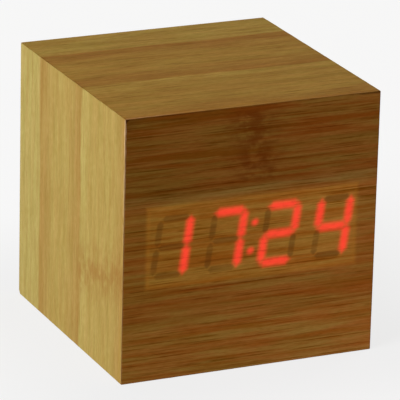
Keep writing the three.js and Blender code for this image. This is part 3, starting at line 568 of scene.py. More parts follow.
def front_wood(along, across, ground, calm):
    """Streaked wood over a ground tone, calmer where told. Gives its colour and its dark fibres."""
    grain = streaks(along, across, length=36, width=1.5, seed=47, detail=5.0, roughness=0.68)
    contrast = UPPER_CONTRAST - across.ease(*UPPER_STRIP) * (UPPER_CONTRAST - 1)
    streaked = (grain - 0.5) * contrast + 0.5
    tone = ground.tinted(streaked.ease(0.34, 0.66).mix(STREAK_DARK, STREAK_LIGHT))
    hue = streaks(along, across, length=18, width=2.2, seed=51, detail=3.0).ease(0.38, 0.62)
    tone = (1 - calm * CALM_SHARE).mix(tone, tone.tinted(hue.mix(RED_CAST, GREEN_CAST)))
    lines = streaks(along, across, length=40, width=0.42, seed=59, roughness=0.65).ease(0.48, 0.68)
    fibre = lines * streaks(along, across, length=7, width=1.4, seed=61).ease(0.3, 0.65)
    tone = fibre.mix(tone, tone.tinted(LINE_DARK))
    tone = pored(tone, along, across, seed=63)
    # Painted light: darker at the left end and lighter at the right, against how the lamps light the front.
    tone = tone.tinted((along / side).mix(PAINTED_SHADE_LEFT_END, PAINTED_LIGHT_RIGHT_END))
    smudge = cane_joint(along, across, **front_joint)
    return (smudge * SMUDGE_SHARE).mix(tone, DARK_JOINT), fibre


def glue_and_shade_marks(along, across):
    """Dark glue along the upper edge with a dot at the left corner, glue and painted shade in the gap at the right
    corner, and painted shade round the left corner.
    """
    ragged = noise(along / 2.5, across / 2.5, 73.0, detail=3.0)
    rim = (1 - across.ease(0.15, 0.3 + ragged * 0.5)) * ragged.ease(0.3, 0.7)
    # Glue and painted shade in the gap at the right end of the upper edge.
    corner = along.ease(side - 9, side - 2) * (1 - across.ease(0.3, 0.7))
    from_corner = along + across
    dot = 1 - from_corner.ease(0.7, 1.3)
    # Painted shade round the upper left corner.
    shade = 1 - from_corner.ease(1, 6)
    glue_and_shade = rim * RIM_GLUE + corner * CORNER_GLUE_AND_SHADE + dot * DOT_GLUE + shade * CORNER_SHADE_SHARE
    return glue_and_shade.at_most(MOST_GLUE_AND_SHADE)


print("wood of the front ready")

# %% Finish of the front
# The window's ground and rim are painted light that the white film behind the thin sheet sends back.
WINDOW_PAINTED_LIGHT = paint(206, 136, 46)
RIM_PAINTED_LIGHT = paint(220, 140, 46)
# The painted shade of the segment wells behind the thin sheet.
WELL_SHADE = paint(104, 62, 22)
# The colour of the glue, and of the painted shade at the front's upper corners.
GLUE_AND_SHADE = paint(78, 38, 8)
LIT_RED = (0.88, 0.030, 0.025, 1.0)
UNLIT = (0.0, 0.0, 0.0, 1.0)
FRONT_SWAY = 3
WINDOW_SHARE = 0.65
RIM_SHARE = 0.3
WELL_EDGE = (-0.3, 0.3)
WELL_SHADE_SHARE = 0.22
WELL_PATCHY = 0.25
LIT_EDGE = (-0.62, 0.92)
LIT_COVER = 0.8
GLOW_EDGE = (-0.2, 1.6)
GLOW_SHARE = 0.04
LIT_FIBRE = 0.15
LIT_CLOUD = 0.22
rubbed_and_highlit_side = edge_paleness(first=0.9, second=0.2, start=0, end=0.6)


def front_finish():
    """Wood, lighter to the right by painted light; the window's ground and rim in painted light; worn edges
    with a painted highlight; glue and painted shade at the upper edge; then the wells in painted shade and the lit
    digits.
    """
    material, shader, (x, y, z) = start_finish("bamboo_front", Emission_Strength=1.0, **SATIN)
    along = x + side / 2
    across = side - z
    sway = streaks(along, across, length=30, width=14, seed=43) - 0.5
    strips = strip_tones(across + sway * FRONT_SWAY, FRONT_STRIPS)
    window = inside_window(x, z, margin=0.2, soft=0.7)
    # Painted light: the ground is lighter inside the window, where the white film lies behind the thin sheet.
    ground = (window * WINDOW_SHARE).mix(strips, WINDOW_PAINTED_LIGHT)
    tone, fibre = front_wood(along, across, ground, window)
    patchy = streaks(along, across, length=14, width=1.2, seed=67).ease(0.25, 0.6)
    rim = window * (1 - inside_window(x, z, margin=0.9, soft=0.5))
    # Painted light: lighter patches along the rim of the window.
    tone = (rim * patchy * RIM_SHARE).mix(tone, RIM_PAINTED_LIGHT)
    # Painted highlight and wear: a pale ragged line along the front's left edge, strongest at the top.
    tone = (worn_and_highlit_line(along, across, width=0.2) * rubbed_and_highlit_side(across)).mix(tone, WORN_AND_HIGHLIT_EDGE)
    tone = glue_and_shade_marks(along, across).mix(tone, GLUE_AND_SHADE)
    lit_edge, any_edge = display_masks(x, z)
    # Painted shade: the module's unlit segment wells show dark through the thin sheet, and the lit segments get
    # the same shade under their light.
    well_shade = (1 - any_edge.ease(*WELL_EDGE)) * window * (WELL_SHADE_SHARE + patchy * WELL_PATCHY)
    lit = (1 - lit_edge.ease(*LIT_EDGE)) * window
    tone = well_shade.at_least(lit * LIT_COVER).mix(tone, WELL_SHADE)
    glow = (1 - lit_edge.ease(*GLOW_EDGE)) * GLOW_SHARE
    cloud = streaks(along, across, length=1.6, width=0.9, seed=83).ease(0.35, 0.75)
    uneven = 1 - fibre * LIT_FIBRE - cloud * LIT_CLOUD
    feed(shader, Base_Color=tone, Emission_Color=(lit * uneven + glow).mix(UNLIT, LIT_RED))
    sand(shader, fibre)
    return material


bamboo["front_veneer"] = front_finish()
print(f"the front shows {TIME[:2]}:{TIME[2:]}")

# %% [markdown]
# ## Modelling by hand, in code
# Each piece starts as a primitive at its size and place, and is then shaped in edit mode, as it would
# be by hand. An operator acts on what is selected, so faces and edges are selected in code by where
# they lie.

# %% Modelling helpers
SMOOTH_ANGLE = math.radians(35)


def make_active(piece):
    """Leave edit mode, and select this piece alone."""
    if bpy.context.object and bpy.context.object.mode == "EDIT":
        bpy.ops.object.mode_set(mode="OBJECT")
    bpy.ops.object.select_all(action="DESELECT")
    piece.select_set(True)
    bpy.context.view_layer.objects.active = piece


def block(name, corner, opposite):
    """A box from one corner to the opposite one."""
    bpy.ops.object.select_all(action="DESELECT")
    size = [abs(b - a) for a, b in zip(corner, opposite)]
    bpy.ops.mesh.primitive_cube_add(size=1, location=(corner + opposite) / 2, scale=size)
    bpy.ops.object.transform_apply()
    piece = bpy.context.object
    piece.name = name
    return piece


def pick(piece, kind, test):
    """In edit mode, select only those vertices, edges or faces that pass a test."""
    make_active(piece)
    bpy.ops.object.mode_set(mode="EDIT")
    bpy.ops.mesh.select_mode(type=kind)
    bpy.ops.mesh.select_all(action="DESELECT")
    mesh = bmesh.from_edit_mesh(piece.data)
    parts = {"VERT": mesh.verts, "EDGE": mesh.edges, "FACE": mesh.faces}[kind]
    picked = [part for part in parts if test(part)]
    for part in picked:
        part.select_set(True)
    bmesh.update_edit_mesh(piece.data)
    return len(picked)


def settle(piece, finish, *nodes):
    """Smooth a piece's round edges, give it its finish, and let it stand for its nodes."""
    make_active(piece)
    bpy.ops.object.shade_smooth_by_angle(angle=SMOOTH_ANGLE)
    even = piece.modifiers.new("even_flats", "WEIGHTED_NORMAL")
    even.keep_sharp = True
    bpy.ops.object.modifier_apply(modifier=even.name)
    piece.data.materials.clear()
    piece.data.materials.append(finish)
    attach(piece, node_body[nodes[0]])
    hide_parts(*nodes)
    return piece


print("modelling helpers ready")

# %% [markdown]
# ## Veneer sheets
# The five sheets are half a millimetre thick and meet in mitres, so no end grain shows at the edges of
# the cube. Each starts as a block. The edges of its inner face are moved in to make the mitres, and
# the outer rim is broken with a small bevel, as sandpaper leaves it. Sanding by hand is never even, so
# the bevel's middle line is shaken by a few hundredths of a millimetre. The lower left corner at the
# rear has been rubbed off a little.

# %% Select parts of a sheet
LEFT, RIGHT = Vector((-1, 0, 0)), Vector((1, 0, 0))
FRONT, REAR = Vector((0, -1, 0)), Vector((0, 1, 0))
DOWN, UP = Vector((0, 0, -1)), Vector((0, 0, 1))
TOUCH = 0.001 * MM
RIM_BEVEL = 0.14 * MM
BEVEL_MIDDLE = (0.02 * RIM_BEVEL, 0.6 * RIM_BEVEL)


def at_side(part, low, high, direction):
    """True if an edge or a face lies in the side of the box that looks in a direction."""
    corner = Vector(high[i] if direction[i] > 0 else low[i] for i in range(3))
    return all(abs((vert.co - corner).dot(direction)) < TOUCH for vert in part.verts)


def is_inner(edge, middle, outward):
    """True for an edge round the inner face of a sheet."""
    start, end = (vert.co for vert in edge.verts)
    flat = abs((start - end).dot(outward)) < TOUCH
    return flat and ((start + end) / 2 - middle).dot(outward) < 0


def on_rim(edge, low, high, outward):
    """True for an edge between the show face and a narrow side of a sheet."""
    return at_side(edge, low, high, outward) and any(
        not at_side(face, low, high, outward) for face in edge.link_faces
    )


def is_bevel_middle(vert, low, high, outward):
    """True for a vertex on the middle line of the rim's bevel."""
    depth = abs((vert.co - (high if sum(outward) > 0 else low)).dot(outward))
    return BEVEL_MIDDLE[0] < depth < BEVEL_MIDDLE[1]


print("tests for edges and corners ready")

# %% Model the sheets
RIM_SHAKE = 0.025 * MM
RIM_CUTS = 40
RUBBED_WAY = Vector((-6, 6, -5)).normalized()
RUBBED_DEPTH = 0.55 * MM


def rub_corner(piece):
    """Cut away what a sheet has at the rubbed corner of the cube."""
    pick(piece, "FACE", lambda face: True)
    corner = Vector((cad_box[0].x, cad_box[1].y, cad_box[0].z))
    cut = corner - RUBBED_WAY * RUBBED_DEPTH
    bpy.ops.mesh.bisect(plane_co=cut, plane_no=RUBBED_WAY, use_fill=True, clear_outer=True)


def veneer_sheet(node, outward, mitred):
    """One sheet. outward is the way its show face looks, and mitred the sides that meet other sheets."""
    low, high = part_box(node)
    piece = block("sheet_" + node.split("_")[0], low, high)
    middle = (low + high) / 2
    thickness = abs((high - low).dot(outward))
    for direction in mitred:
        pick(piece, "EDGE", lambda e: is_inner(e, middle, outward) and at_side(e, low, high, direction))
        bpy.ops.transform.translate(value=-direction * thickness)
    pick(piece, "EDGE", lambda e: at_side(e, low, high, outward))
    bpy.ops.mesh.subdivide(number_cuts=RIM_CUTS)
    pick(piece, "EDGE", lambda e: on_rim(e, low, high, outward))
    bpy.ops.mesh.bevel(offset=RIM_BEVEL, segments=2, affect="EDGES")
    pick(piece, "VERT", lambda v: is_bevel_middle(v, low, high, outward))
    bpy.ops.transform.vertex_random(offset=RIM_SHAKE, seed=len(node))
    rub_corner(piece)
    return settle(piece, bamboo[node], node)


sheets = [
    veneer_sheet("front_veneer", FRONT, (LEFT, RIGHT, UP, DOWN)),
    veneer_sheet("left_veneer", LEFT, (FRONT, UP, DOWN)),
    veneer_sheet("right_veneer", RIGHT, (FRONT, UP, DOWN)),
    veneer_sheet("top_veneer", UP, (FRONT, LEFT, RIGHT)),
    veneer_sheet("bottom_veneer", DOWN, (FRONT, LEFT, RIGHT)),
]
print([f"{sheet.name} {len(sheet.data.polygons)} faces" for sheet in sheets])

# %% [markdown]
# ## Boards of the case
# The sheets are glued to boards of fibreboard, whose bare edges frame the rear of the clock. Their
# shapes are right as they are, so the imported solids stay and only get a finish: pressed wood dust in
# pale and dark grains, with some larger and darker chips.

# %% Fibreboard
DUST_TONES = [(0.3, paint(138, 106, 68)), (0.5, paint(176, 141, 96)), (0.7, paint(204, 172, 126))]
DARK_CHIP = paint(140, 106, 66)
CHIP_SHARE = 0.4
BOARD_ROUGHNESS = 0.8
DUST_ROUGHNESS = 0.15


def fibreboard_finish():
    """Pressed wood dust, with some darker chips in it."""
    material, shader, axes = start_finish("fibreboard", Specular_IOR_Level=0.1)
    dust = blotches(axes, size=0.35, detail=4.0)
    chips = blotches(axes, size=1.4).ease(0.5, 0.75)
    tone = (chips * CHIP_SHARE).mix(dust.ramp(DUST_TONES), DARK_CHIP)
    feed(shader, Base_Color=tone, Normal=bump(dust, depth=0.06))
    feed(shader, Roughness=BOARD_ROUGHNESS + dust * DUST_ROUGHNESS)
    return material


def dress_nodes(finish, *slots):
    """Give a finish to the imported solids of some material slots. Gives how many there are."""
    nodes = [node for node, slot in node_slot.items() if slot in slots]
    for node in nodes:
        mesh = frame["nodes"][node].data
        mesh.materials.clear()
        mesh.materials.append(finish)
    return len(nodes)


print(f"fibreboard on {dress_nodes(fibreboard_finish(), 'fibreboard')} solids")

# %% [markdown]
# ## Black plastic
# The cover, the door, the buttons and the inlet are moulded in black plastic. The tool that moulds them
# is spark eroded, which leaves fine round grains, and handling leaves some of them shinier. The
# buttons are smoother than the cover, so the finish takes the size and the depth of its grain.

# %% Moulded plastic
PLASTIC_ROUGHNESS = 0.52
WORN_POLISH = 0.12
GRAIN_ROUGHNESS = 0.1


def plastic_finish(name, dark, light, grain, depth=0.01):
    """Moulded plastic between two tones, with grains of a size and depth in millimetres."""
    material, shader, axes = start_finish(name, Specular_IOR_Level=0.35)
    grains = blotches(axes, size=grain, detail=3.0)
    worn = blotches(axes, size=9).ease(0.4, 0.7)
    feed(shader, Base_Color=grains.ramp([(0.35, dark), (0.65, light)]), Normal=bump(grains, depth))
    feed(shader, Roughness=PLASTIC_ROUGHNESS - worn * WORN_POLISH + grains * GRAIN_ROUGHNESS)
    return material


cover_plastic = plastic_finish(
    "cover_plastic", paint(22, 22, 23), paint(34, 34, 35), grain=0.22, depth=0.03
)
key_plastic = plastic_finish(
    "key_plastic", paint(36, 36, 38), paint(45, 45, 47), grain=0.12, depth=0.006
)
print(f"black plastic on {dress_nodes(cover_plastic, 'black_plastic')} solids")

# %% [markdown]
# ## Joining, cutting and rounding
# A moulded part has ribs, holes and recesses. They are made as blocks and rods of their own, joined to
# the part or cut out of it with a Boolean modifier, and then all sharp edges are rounded at once,
# because a moulding has no truly sharp edge.

# %% Booleans and round edges
FLAT_ANGLE = math.radians(1)
SHARP_ANGLE = math.radians(40)
CORNER_SEGMENTS = 6
NEARLY_ALONG = 0.99


def mm(x, y, z):
    """A point given in millimetres."""
    return Vector((x, y, z)) * MM


def rod(name, diameter, start, end, sides=48):
    """A round bar from one point to another."""
    bpy.ops.object.select_all(action="DESELECT")
    bpy.ops.mesh.primitive_cylinder_add(
        vertices=sides,
        radius=diameter / 2,
        depth=(end - start).length,
        location=(start + end) / 2,
        rotation=(end - start).to_track_quat("Z", "Y").to_euler(),
    )
    bpy.ops.object.transform_apply()
    piece = bpy.context.object
    piece.name = name
    return piece


def combine(piece, operation, tools):
    """Join tools to a piece (UNION) or cut them out of it (DIFFERENCE). The tools are used up."""
    for tool in tools:
        make_active(piece)
        change = piece.modifiers.new("change", "BOOLEAN")
        change.operation = operation
        change.object = tool
        bpy.ops.object.modifier_apply(modifier=change.name)
        bpy.data.objects.remove(tool)


def round_edges(piece, width, segments=2):
    """Join flat faces that were cut apart, then round every sharp edge."""
    make_active(piece)
    bpy.ops.object.mode_set(mode="EDIT")
    bpy.ops.mesh.select_all(action="SELECT")
    bpy.ops.mesh.remove_doubles(threshold=TOUCH)
    bpy.ops.mesh.dissolve_limited(angle_limit=FLAT_ANGLE)
    bpy.ops.object.mode_set(mode="OBJECT")
    edges = piece.modifiers.new("edges", "BEVEL")
    edges.width = width
    edges.segments = segments
    edges.limit_method = "ANGLE"
    edges.angle_limit = SHARP_ANGLE
    edges.use_clamp_overlap = False
    bpy.ops.object.modifier_apply(modifier=edges.name)


def round_corners(piece, radius, axis):
    """Round the edges of a block that run along an axis."""
    pick(piece, "EDGE", lambda e: abs((e.verts[0].co - e.verts[1].co).normalized()[axis]) > NEARLY_ALONG)
    bpy.ops.mesh.bevel(offset=radius, segments=CORNER_SEGMENTS, affect="EDGES")
    make_active(piece)


print("joining helpers ready")

# %% [markdown]
# ## Rear cover
# The cover is a plate with the battery bay moulded behind it. It could be taken over from the packed
# solid, but that has coarse round holes. So it is modelled again: a plate with round corners, joined to
# the bay's outer block, and then hollowed and drilled.

# %% Places on the rear cover
CLEARANCE = 0.3
LATCH_GAP = 0.1
COVER_THICKNESS = 2.0
COVER_CORNER = 1.2
OPENING_CORNER = 0.8
BAY_WALL = 1.2
BAY_LEDGE = 0.6
cover_low, cover_high = box_mm("rear_cover")
door_low, door_high = box_mm("battery_door")
cell_nodes = [f"cell_{k}" for k in (1, 2, 3)]
cell_boxes = [box_mm(node) for node in cell_nodes]
hinge = Vector(frame["joints"][0]["pos_m"]) / MM
cover_inner = cover_high.y - COVER_THICKNESS
opening_x = door_high.x + CLEARANCE
opening_top = door_high.z + LATCH_GAP
bay_x = opening_x - BAY_LEDGE
bay_bottom = hinge.z + BAY_LEDGE
bay_top = opening_top - BAY_LEDGE
bay_floor = cover_low.y + BAY_WALL
print(f"battery bay {2 * bay_x:.1f} by {bay_top - bay_bottom:.1f} by {cover_high.y - bay_floor:.1f} mm")

# %% Model the rear cover
POST_DIAMETER = 4.0
POST_BITE = 1
PILOT_DIAMETER = 2.2
PILOT_DEPTH = 4.7
GLUE_GAP = 0.05
PAST = 3


def node_middle(node):
    """The middle of a node's box, in millimetres."""
    low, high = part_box(node)
    return (low + high) / 2 / MM


cover = block("cover_moulding", mm(cover_low.x, cover_inner, cover_low.z), mm(*cover_high))
round_corners(cover, COVER_CORNER * MM, axis=1)
bay = block(
    "bay",
    mm(-bay_x - BAY_WALL, cover_low.y, bay_bottom - BAY_WALL),
    mm(bay_x + BAY_WALL, cover_inner + COVER_THICKNESS / 2, bay_top + BAY_WALL),
)
post_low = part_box("key_board")[1].y / MM + GLUE_GAP
posts, pilots = [], []
for place in map(node_middle, ("key_board_screw_1", "key_board_screw_2")):
    foot = mm(place.x, post_low, place.z)
    posts.append(rod("post", POST_DIAMETER * MM, foot, mm(place.x, cover_inner + POST_BITE, place.z)))
    pilots.append(rod("pilot", PILOT_DIAMETER * MM, foot - mm(0, PAST, 0), foot + mm(0, PILOT_DEPTH, 0)))
combine(cover, "UNION", [bay, *posts])
combine(cover, "DIFFERENCE", pilots)
print(f"cover with {len(posts)} posts, {len(cover.data.polygons)} faces")

# %% Hollow and drill the rear cover
SCREW_SEAT = 0.8
SCREW_SEAT_DIAMETER = 4.6
SCREW_HOLE = 2.8
BUTTON_HOLE = 5.2
JACK_HOLE = 6.6
THROUGH = COVER_THICKNESS + PAST
TAB_PLACES = (-14, 14)
TAB_WIDTH = 6
TAB_SWING = 3.885
KEYS = ("set", "up", "down")
screw_nodes = [f"rear_cover_screw_{k}" for k in (1, 2, 3, 4)]


def drill(diameter, node, depth):
    """A rod for drilling a hole of this depth into the cover, in line with a node."""
    place = node_middle(node)
    start = mm(place.x, cover_high.y - depth, place.z)
    return rod("drill", diameter * MM, start, mm(place.x, cover_high.y + PAST, place.z))


opening = block(
    "opening", mm(-opening_x, cover_inner, hinge.z), mm(opening_x, cover_high.y + PAST, opening_top)
)
round_corners(opening, OPENING_CORNER * MM, axis=1)
hollow = block("hollow", mm(-bay_x, bay_floor, bay_bottom), mm(bay_x, cover_high.y, bay_top))
drills = [
    *(drill(BUTTON_HOLE, f"button_{key}", THROUGH) for key in KEYS),
    *(drill(SCREW_HOLE, node, THROUGH) for node in screw_nodes),
    *(drill(SCREW_SEAT_DIAMETER, node, SCREW_SEAT) for node in screw_nodes),
    drill(JACK_HOLE, "dc_jack", THROUGH),
]
tab_slots = [
    block(
        "slot",
        mm(x - TAB_WIDTH / 2 - CLEARANCE, cover_high.y - TAB_SWING, bay_bottom - 1.5 * BAY_WALL),
        mm(x + TAB_WIDTH / 2 + CLEARANCE, cover_inner, bay_bottom + BAY_WALL / 2),
    )
    for x in TAB_PLACES
]
combine(cover, "DIFFERENCE", [opening, hollow, *drills, *tab_slots])
print(f"{len(drills)} holes, cover with {len(cover.data.polygons)} faces")

# %% Ribs and guides in the battery bay
DIVIDER_INSET = 8
DIVIDER_HEIGHT = 2.4
DIVIDER_THICKNESS = 0.8
EDGE_ROUND = 0.12 * MM
GUIDE_WALL = 0.6
PLATE_SEAT = 0.75
TAG_WIDTH = 2.4
plate_sides = {
    "contact_plate_positive": -1, "contact_plate_pair_left": -1,
    "contact_plate_negative": 1, "contact_plate_pair_right": 1,
}


def contact_guide(plate, hand, rise):
    """The rib and the lip that hold one edge of a contact plate.

    hand is -1 for a plate at the left wall and 1 at the right one, and rise is 1 for its upper edge.
    """
    low, high = box_mm(plate)
    edge = high.z if rise > 0 else low.z
    wall = hand * bay_x
    lip = wall - hand * PLATE_SEAT
    inner = lip - hand * GUIDE_WALL
    root = bay_floor - BAY_WALL / 2
    near = edge + rise * GLUE_GAP
    far = near + rise * GUIDE_WALL
    rib = block("rib", mm(wall + hand * BAY_WALL / 2, root, near), mm(inner, high.y, far))
    return [rib, block("lip", mm(lip, root, edge - rise * GUIDE_WALL), mm(inner, high.y, far))]


dividers = []
for upper, lower in pairwise(cell_boxes):
    gap = (upper[0].z + lower[1].z) / 2
    dividers.append(block(
        "divider",
        mm(DIVIDER_INSET - bay_x, bay_floor - BAY_WALL / 2, gap - DIVIDER_THICKNESS / 2),
        mm(bay_x - DIVIDER_INSET, bay_floor + DIVIDER_HEIGHT, gap + DIVIDER_THICKNESS / 2),
    ))
guides = []
for plate, hand in plate_sides.items():
    guides += contact_guide(plate, hand, rise=-1) + contact_guide(plate, hand, rise=1)
combine(cover, "UNION", [*dividers, *guides])
tag_slots = []
for plate, cell in (("contact_plate_positive", 1), ("contact_plate_negative", 3)):
    tag_middle = node_middle(f"cell_{cell}").z
    reach = TAG_WIDTH / 2 + CLEARANCE
    wall = plate_sides[plate] * bay_x
    slot_inner = wall - plate_sides[plate] * PLATE_SEAT
    slot_rear = cover_low.y - PAST
    corner = mm(slot_inner, bay_floor + BAY_WALL, tag_middle + reach)
    tag_slots.append(block("slot", mm(wall, slot_rear, tag_middle - reach), corner))
combine(cover, "DIFFERENCE", tag_slots)
round_edges(cover, EDGE_ROUND)
settle(cover, cover_plastic, "rear_cover")
print(f"{len(dividers)} dividers, {len(guides) // 2} guides, {len(cover.data.polygons)} faces")

# %% [markdown]
# ## Battery door
# The door is a thin leaf. Two hooked tabs at its foot swing behind the cover, and a springy tongue
# between two slits holds its head. Three ridges on the tongue give the thumb a grip. The leaf's own
# edge line is the hinge, so it is placed from there.

# %% Model the battery door
DOOR_THICKNESS = 1.6
TAB_BACK = 3.3
TAB_THICKNESS = 1.0
TAB_REACH = 1.4
TAB_RISE = 1.2
LATCH_WIDTH = 11.0
LATCH_LENGTH = 7.0
LATCH_SLIT = 0.8
NIB_INSET = 0.4
NIB_HEIGHT = 0.8
NIB_TAPER = 0.1
RIDGES = 3
RIDGE_DIAMETER = 0.8
RIDGE_PITCH = 1.5
RIDGE_SIDES = 24
leaf_bottom = hinge.z + CLEARANCE
leaf_top = opening_top - CLEARANCE
leaf_inner = hinge.y - DOOR_THICKNESS
door = block("door_leaf", mm(door_low.x, leaf_inner, leaf_bottom), mm(door_high.x, hinge.y, leaf_top))
round_corners(door, OPENING_CORNER * MM, axis=1)

arm_foot = leaf_bottom + CLEARANCE
arm_top = arm_foot + TAB_RISE
arm_root = hinge.y - DOOR_THICKNESS / 2
foot = hinge.y - TAB_BACK
tab_parts = []
for x in TAB_PLACES:
    left_edge, right_edge = x - TAB_WIDTH / 2, x + TAB_WIDTH / 2
    tab_parts.append(block("arm", mm(left_edge, foot, arm_foot), mm(right_edge, arm_root, arm_top)))
    hook_end = mm(left_edge, foot, hinge.z - TAB_REACH)
    tab_parts.append(block("hook", hook_end, mm(right_edge, foot + TAB_THICKNESS, arm_top)))
ridge_reach = LATCH_WIDTH / 2 - LATCH_SLIT
ridges = []
for k in range(RIDGES):
    ridge_z = leaf_top - (k + 1) * RIDGE_PITCH
    start, end = mm(-ridge_reach, hinge.y, ridge_z), mm(ridge_reach, hinge.y, ridge_z)
    ridges.append(rod("ridge", RIDGE_DIAMETER * MM, start, end, sides=RIDGE_SIDES))
nib_face = hinge.y - NIB_INSET
nib = block(
    "nib",
    mm(-ridge_reach, nib_face - NIB_HEIGHT, leaf_top - CLEARANCE),
    mm(ridge_reach, nib_face, leaf_top + CLEARANCE - LATCH_GAP),
)
pick(nib, "VERT", lambda v: v.co.z > leaf_top * MM)
nib_edge = mm(0, nib_face - NIB_HEIGHT / 2, leaf_top)
bpy.ops.transform.resize(value=(1, NIB_TAPER, 1), center_override=nib_edge)
make_active(nib)
combine(door, "UNION", [*tab_parts, *ridges, nib])
slit_place = (LATCH_WIDTH + LATCH_SLIT) / 2
slits = [
    block(
        "slit",
        mm(x - LATCH_SLIT / 2, leaf_inner - PAST, leaf_top - LATCH_LENGTH),
        mm(x + LATCH_SLIT / 2, hinge.y + PAST, leaf_top + PAST),
    )
    for x in (-slit_place, slit_place)
]
combine(door, "DIFFERENCE", slits)
round_edges(door, EDGE_ROUND)
settle(door, cover_plastic, "battery_door")
print(f"door with {len(door.data.polygons)} faces, hinged {hinge.z:.1f} mm above the table")

# %% [markdown]
# ## Turned pieces
# Buttons, screws, cells and pins are round. A disc is extruded ring by ring, and each new ring is
# resized, as on a lathe whose tool follows a profile. The piece is turned upright first, and then laid
# along its own axis. What repeats is made once and copied. Each copy gets a mesh of its own, so that it
# can be cut and finished by itself.

# %% Lathe
def turned(name, rings, place, way, sides=48):
    """A round piece from rings of (diameter, distance along its axis), in millimetres."""
    bpy.ops.object.select_all(action="DESELECT")
    first_diameter, first_rise = rings[0]
    bpy.ops.mesh.primitive_circle_add(vertices=sides, radius=first_diameter / 2 * MM, fill_type="NGON")
    piece = bpy.context.object
    piece.name = name
    bpy.ops.object.mode_set(mode="EDIT")
    bpy.ops.mesh.select_all(action="SELECT")
    bpy.ops.transform.translate(value=mm(0, 0, first_rise))
    for (diameter, rise), (next_diameter, next_rise) in pairwise(rings):
        bpy.ops.mesh.extrude_region_move(TRANSFORM_OT_translate={"value": mm(0, 0, next_rise - rise)})
        growth = next_diameter / diameter
        bpy.ops.transform.resize(value=(growth, growth, 1), center_override=mm(0, 0, next_rise))
    bpy.ops.mesh.select_all(action="SELECT")
    bpy.ops.mesh.normals_make_consistent(inside=False)
    bpy.ops.object.mode_set(mode="OBJECT")
    piece.location = place
    piece.rotation_euler = way.to_track_quat("Z", "Y").to_euler()
    bpy.ops.object.transform_apply()
    return piece


def round_rim(diameter, end, radius, steps=5):
    """Rings of a rounded rim, from the side of a turned piece in to its end face."""
    angles = [math.pi / 2 * k / steps for k in range(steps + 1)]
    return [
        (diameter - 2 * radius * (1 - math.cos(angle)), end - radius * (1 - math.sin(angle)))
        for angle in angles
    ]


print("lathe ready")

# %% Copies
def repeated(piece, names, nodes, half_turned=None):
    """One piece for each node: the piece itself stands at the first node, and copies at the others.

    The copy at the node half_turned is turned half round, about the upright axis.
    """
    pieces = [piece]
    for name, node in zip(names[1:], nodes[1:]):
        make_active(piece)
        bpy.ops.object.duplicate()
        twin = bpy.context.object
        twin.name = name
        turn = Matrix.Rotation(math.pi if node == half_turned else 0, 4, "Z")
        twin.matrix_world = (
            Matrix.Translation(node_middle(node) * MM) @ turn
            @ Matrix.Translation(-node_middle(nodes[0]) * MM)
        )
        bpy.ops.object.transform_apply()
        pieces.append(twin)
    return pieces


print("copying ready")

# %% [markdown]
# ## Buttons and power inlet
# Each button has a flange that keeps it behind the cover, and its rounded top is very slightly hollow,
# so that a fingertip finds it. The inlet is a square body with a round nose, a socket and a brass pin.

# %% Model the buttons
CAP_DIAMETER = 4.6
CAP_FLANGE = 6.0
CAP_FLANGE_THICKNESS = 0.8
CAP_STEM = 0.5
CAP_STEM_DIAMETER = 3.2
CAP_EDGE = 0.4
CAP_DISH = 0.1
DISH_RINGS = [(0.7, 0.3), (0.5, 0.8), (0.2, 1.0)]
button_nodes = [f"button_{key}" for key in KEYS]
low, high = box_mm(button_nodes[0])
height = high.y - low.y
flange_top = CAP_STEM + CAP_FLANGE_THICKNESS
profile = [
    (CAP_STEM_DIAMETER, 0), (CAP_STEM_DIAMETER, CAP_STEM), (CAP_FLANGE, CAP_STEM),
    (CAP_FLANGE, flange_top), (CAP_DIAMETER, flange_top),
    *round_rim(CAP_DIAMETER, height, CAP_EDGE),
    *((CAP_DIAMETER * width, height - CAP_DISH * depth) for width, depth in DISH_RINGS),
]
place = node_middle(button_nodes[0])
key_names = [f"{key}_key" for key in KEYS]
button = turned(key_names[0], profile, mm(place.x, low.y, place.z), REAR)
for button, node in zip(repeated(button, key_names, button_nodes), button_nodes):
    settle(button, key_plastic, node)
print(f"{len(button_nodes)} buttons of {height:.1f} mm")

# %% Model the power inlet
JACK_NOSE = 6.0
JACK_NOSE_LENGTH = 2.3
JACK_BORE = 3.8
JACK_FLOOR = 1.0
jack_low, jack_high = box_mm("dc_jack")
jack_middle = node_middle("dc_jack")
nose_root = jack_high.y - JACK_NOSE_LENGTH
jack = block("jack_body", mm(*jack_low), mm(jack_high.x, nose_root, jack_high.z))
nose_start = mm(jack_middle.x, nose_root - JACK_FLOOR, jack_middle.z)
nose = rod("nose", JACK_NOSE * MM, nose_start, mm(jack_middle.x, jack_high.y, jack_middle.z))
bore_start = mm(jack_middle.x, jack_low.y + JACK_FLOOR, jack_middle.z)
bore = rod("bore", JACK_BORE * MM, bore_start, mm(jack_middle.x, jack_high.y + PAST, jack_middle.z))
combine(jack, "UNION", [nose])
combine(jack, "DIFFERENCE", [bore])
round_edges(jack, EDGE_ROUND)
settle(jack, key_plastic, "dc_jack")
print(f"inlet with {len(jack.data.polygons)} faces")

# %% [markdown]
# ## Metal
# Screws, springs and contacts are plated steel, and the inlet's pin is brass. Plated metal is drawn or
# stamped, so it shows faint scratches and a slightly uneven polish. Narrow noise makes the scratches,
# and coarser noise changes the polish and the tone.

# %% Metal finishes
BRIGHT_STEEL = (0.62, 0.62, 0.63, 1)
DULL_STEEL = (0.46, 0.46, 0.47, 1)
BRIGHT_BRASS = (0.78, 0.58, 0.26, 1)
DULL_BRASS = (0.55, 0.40, 0.18, 1)
RECESS_SHADE = (0.03, 0.03, 0.03, 1)
DULL_SHARE = 0.6
SCRATCH_WIDTH = 0.08
SCRATCH_DEPTH = 0.002
SCRATCH_ROUGHNESS = 0.1
UNEVEN_POLISH = 0.15


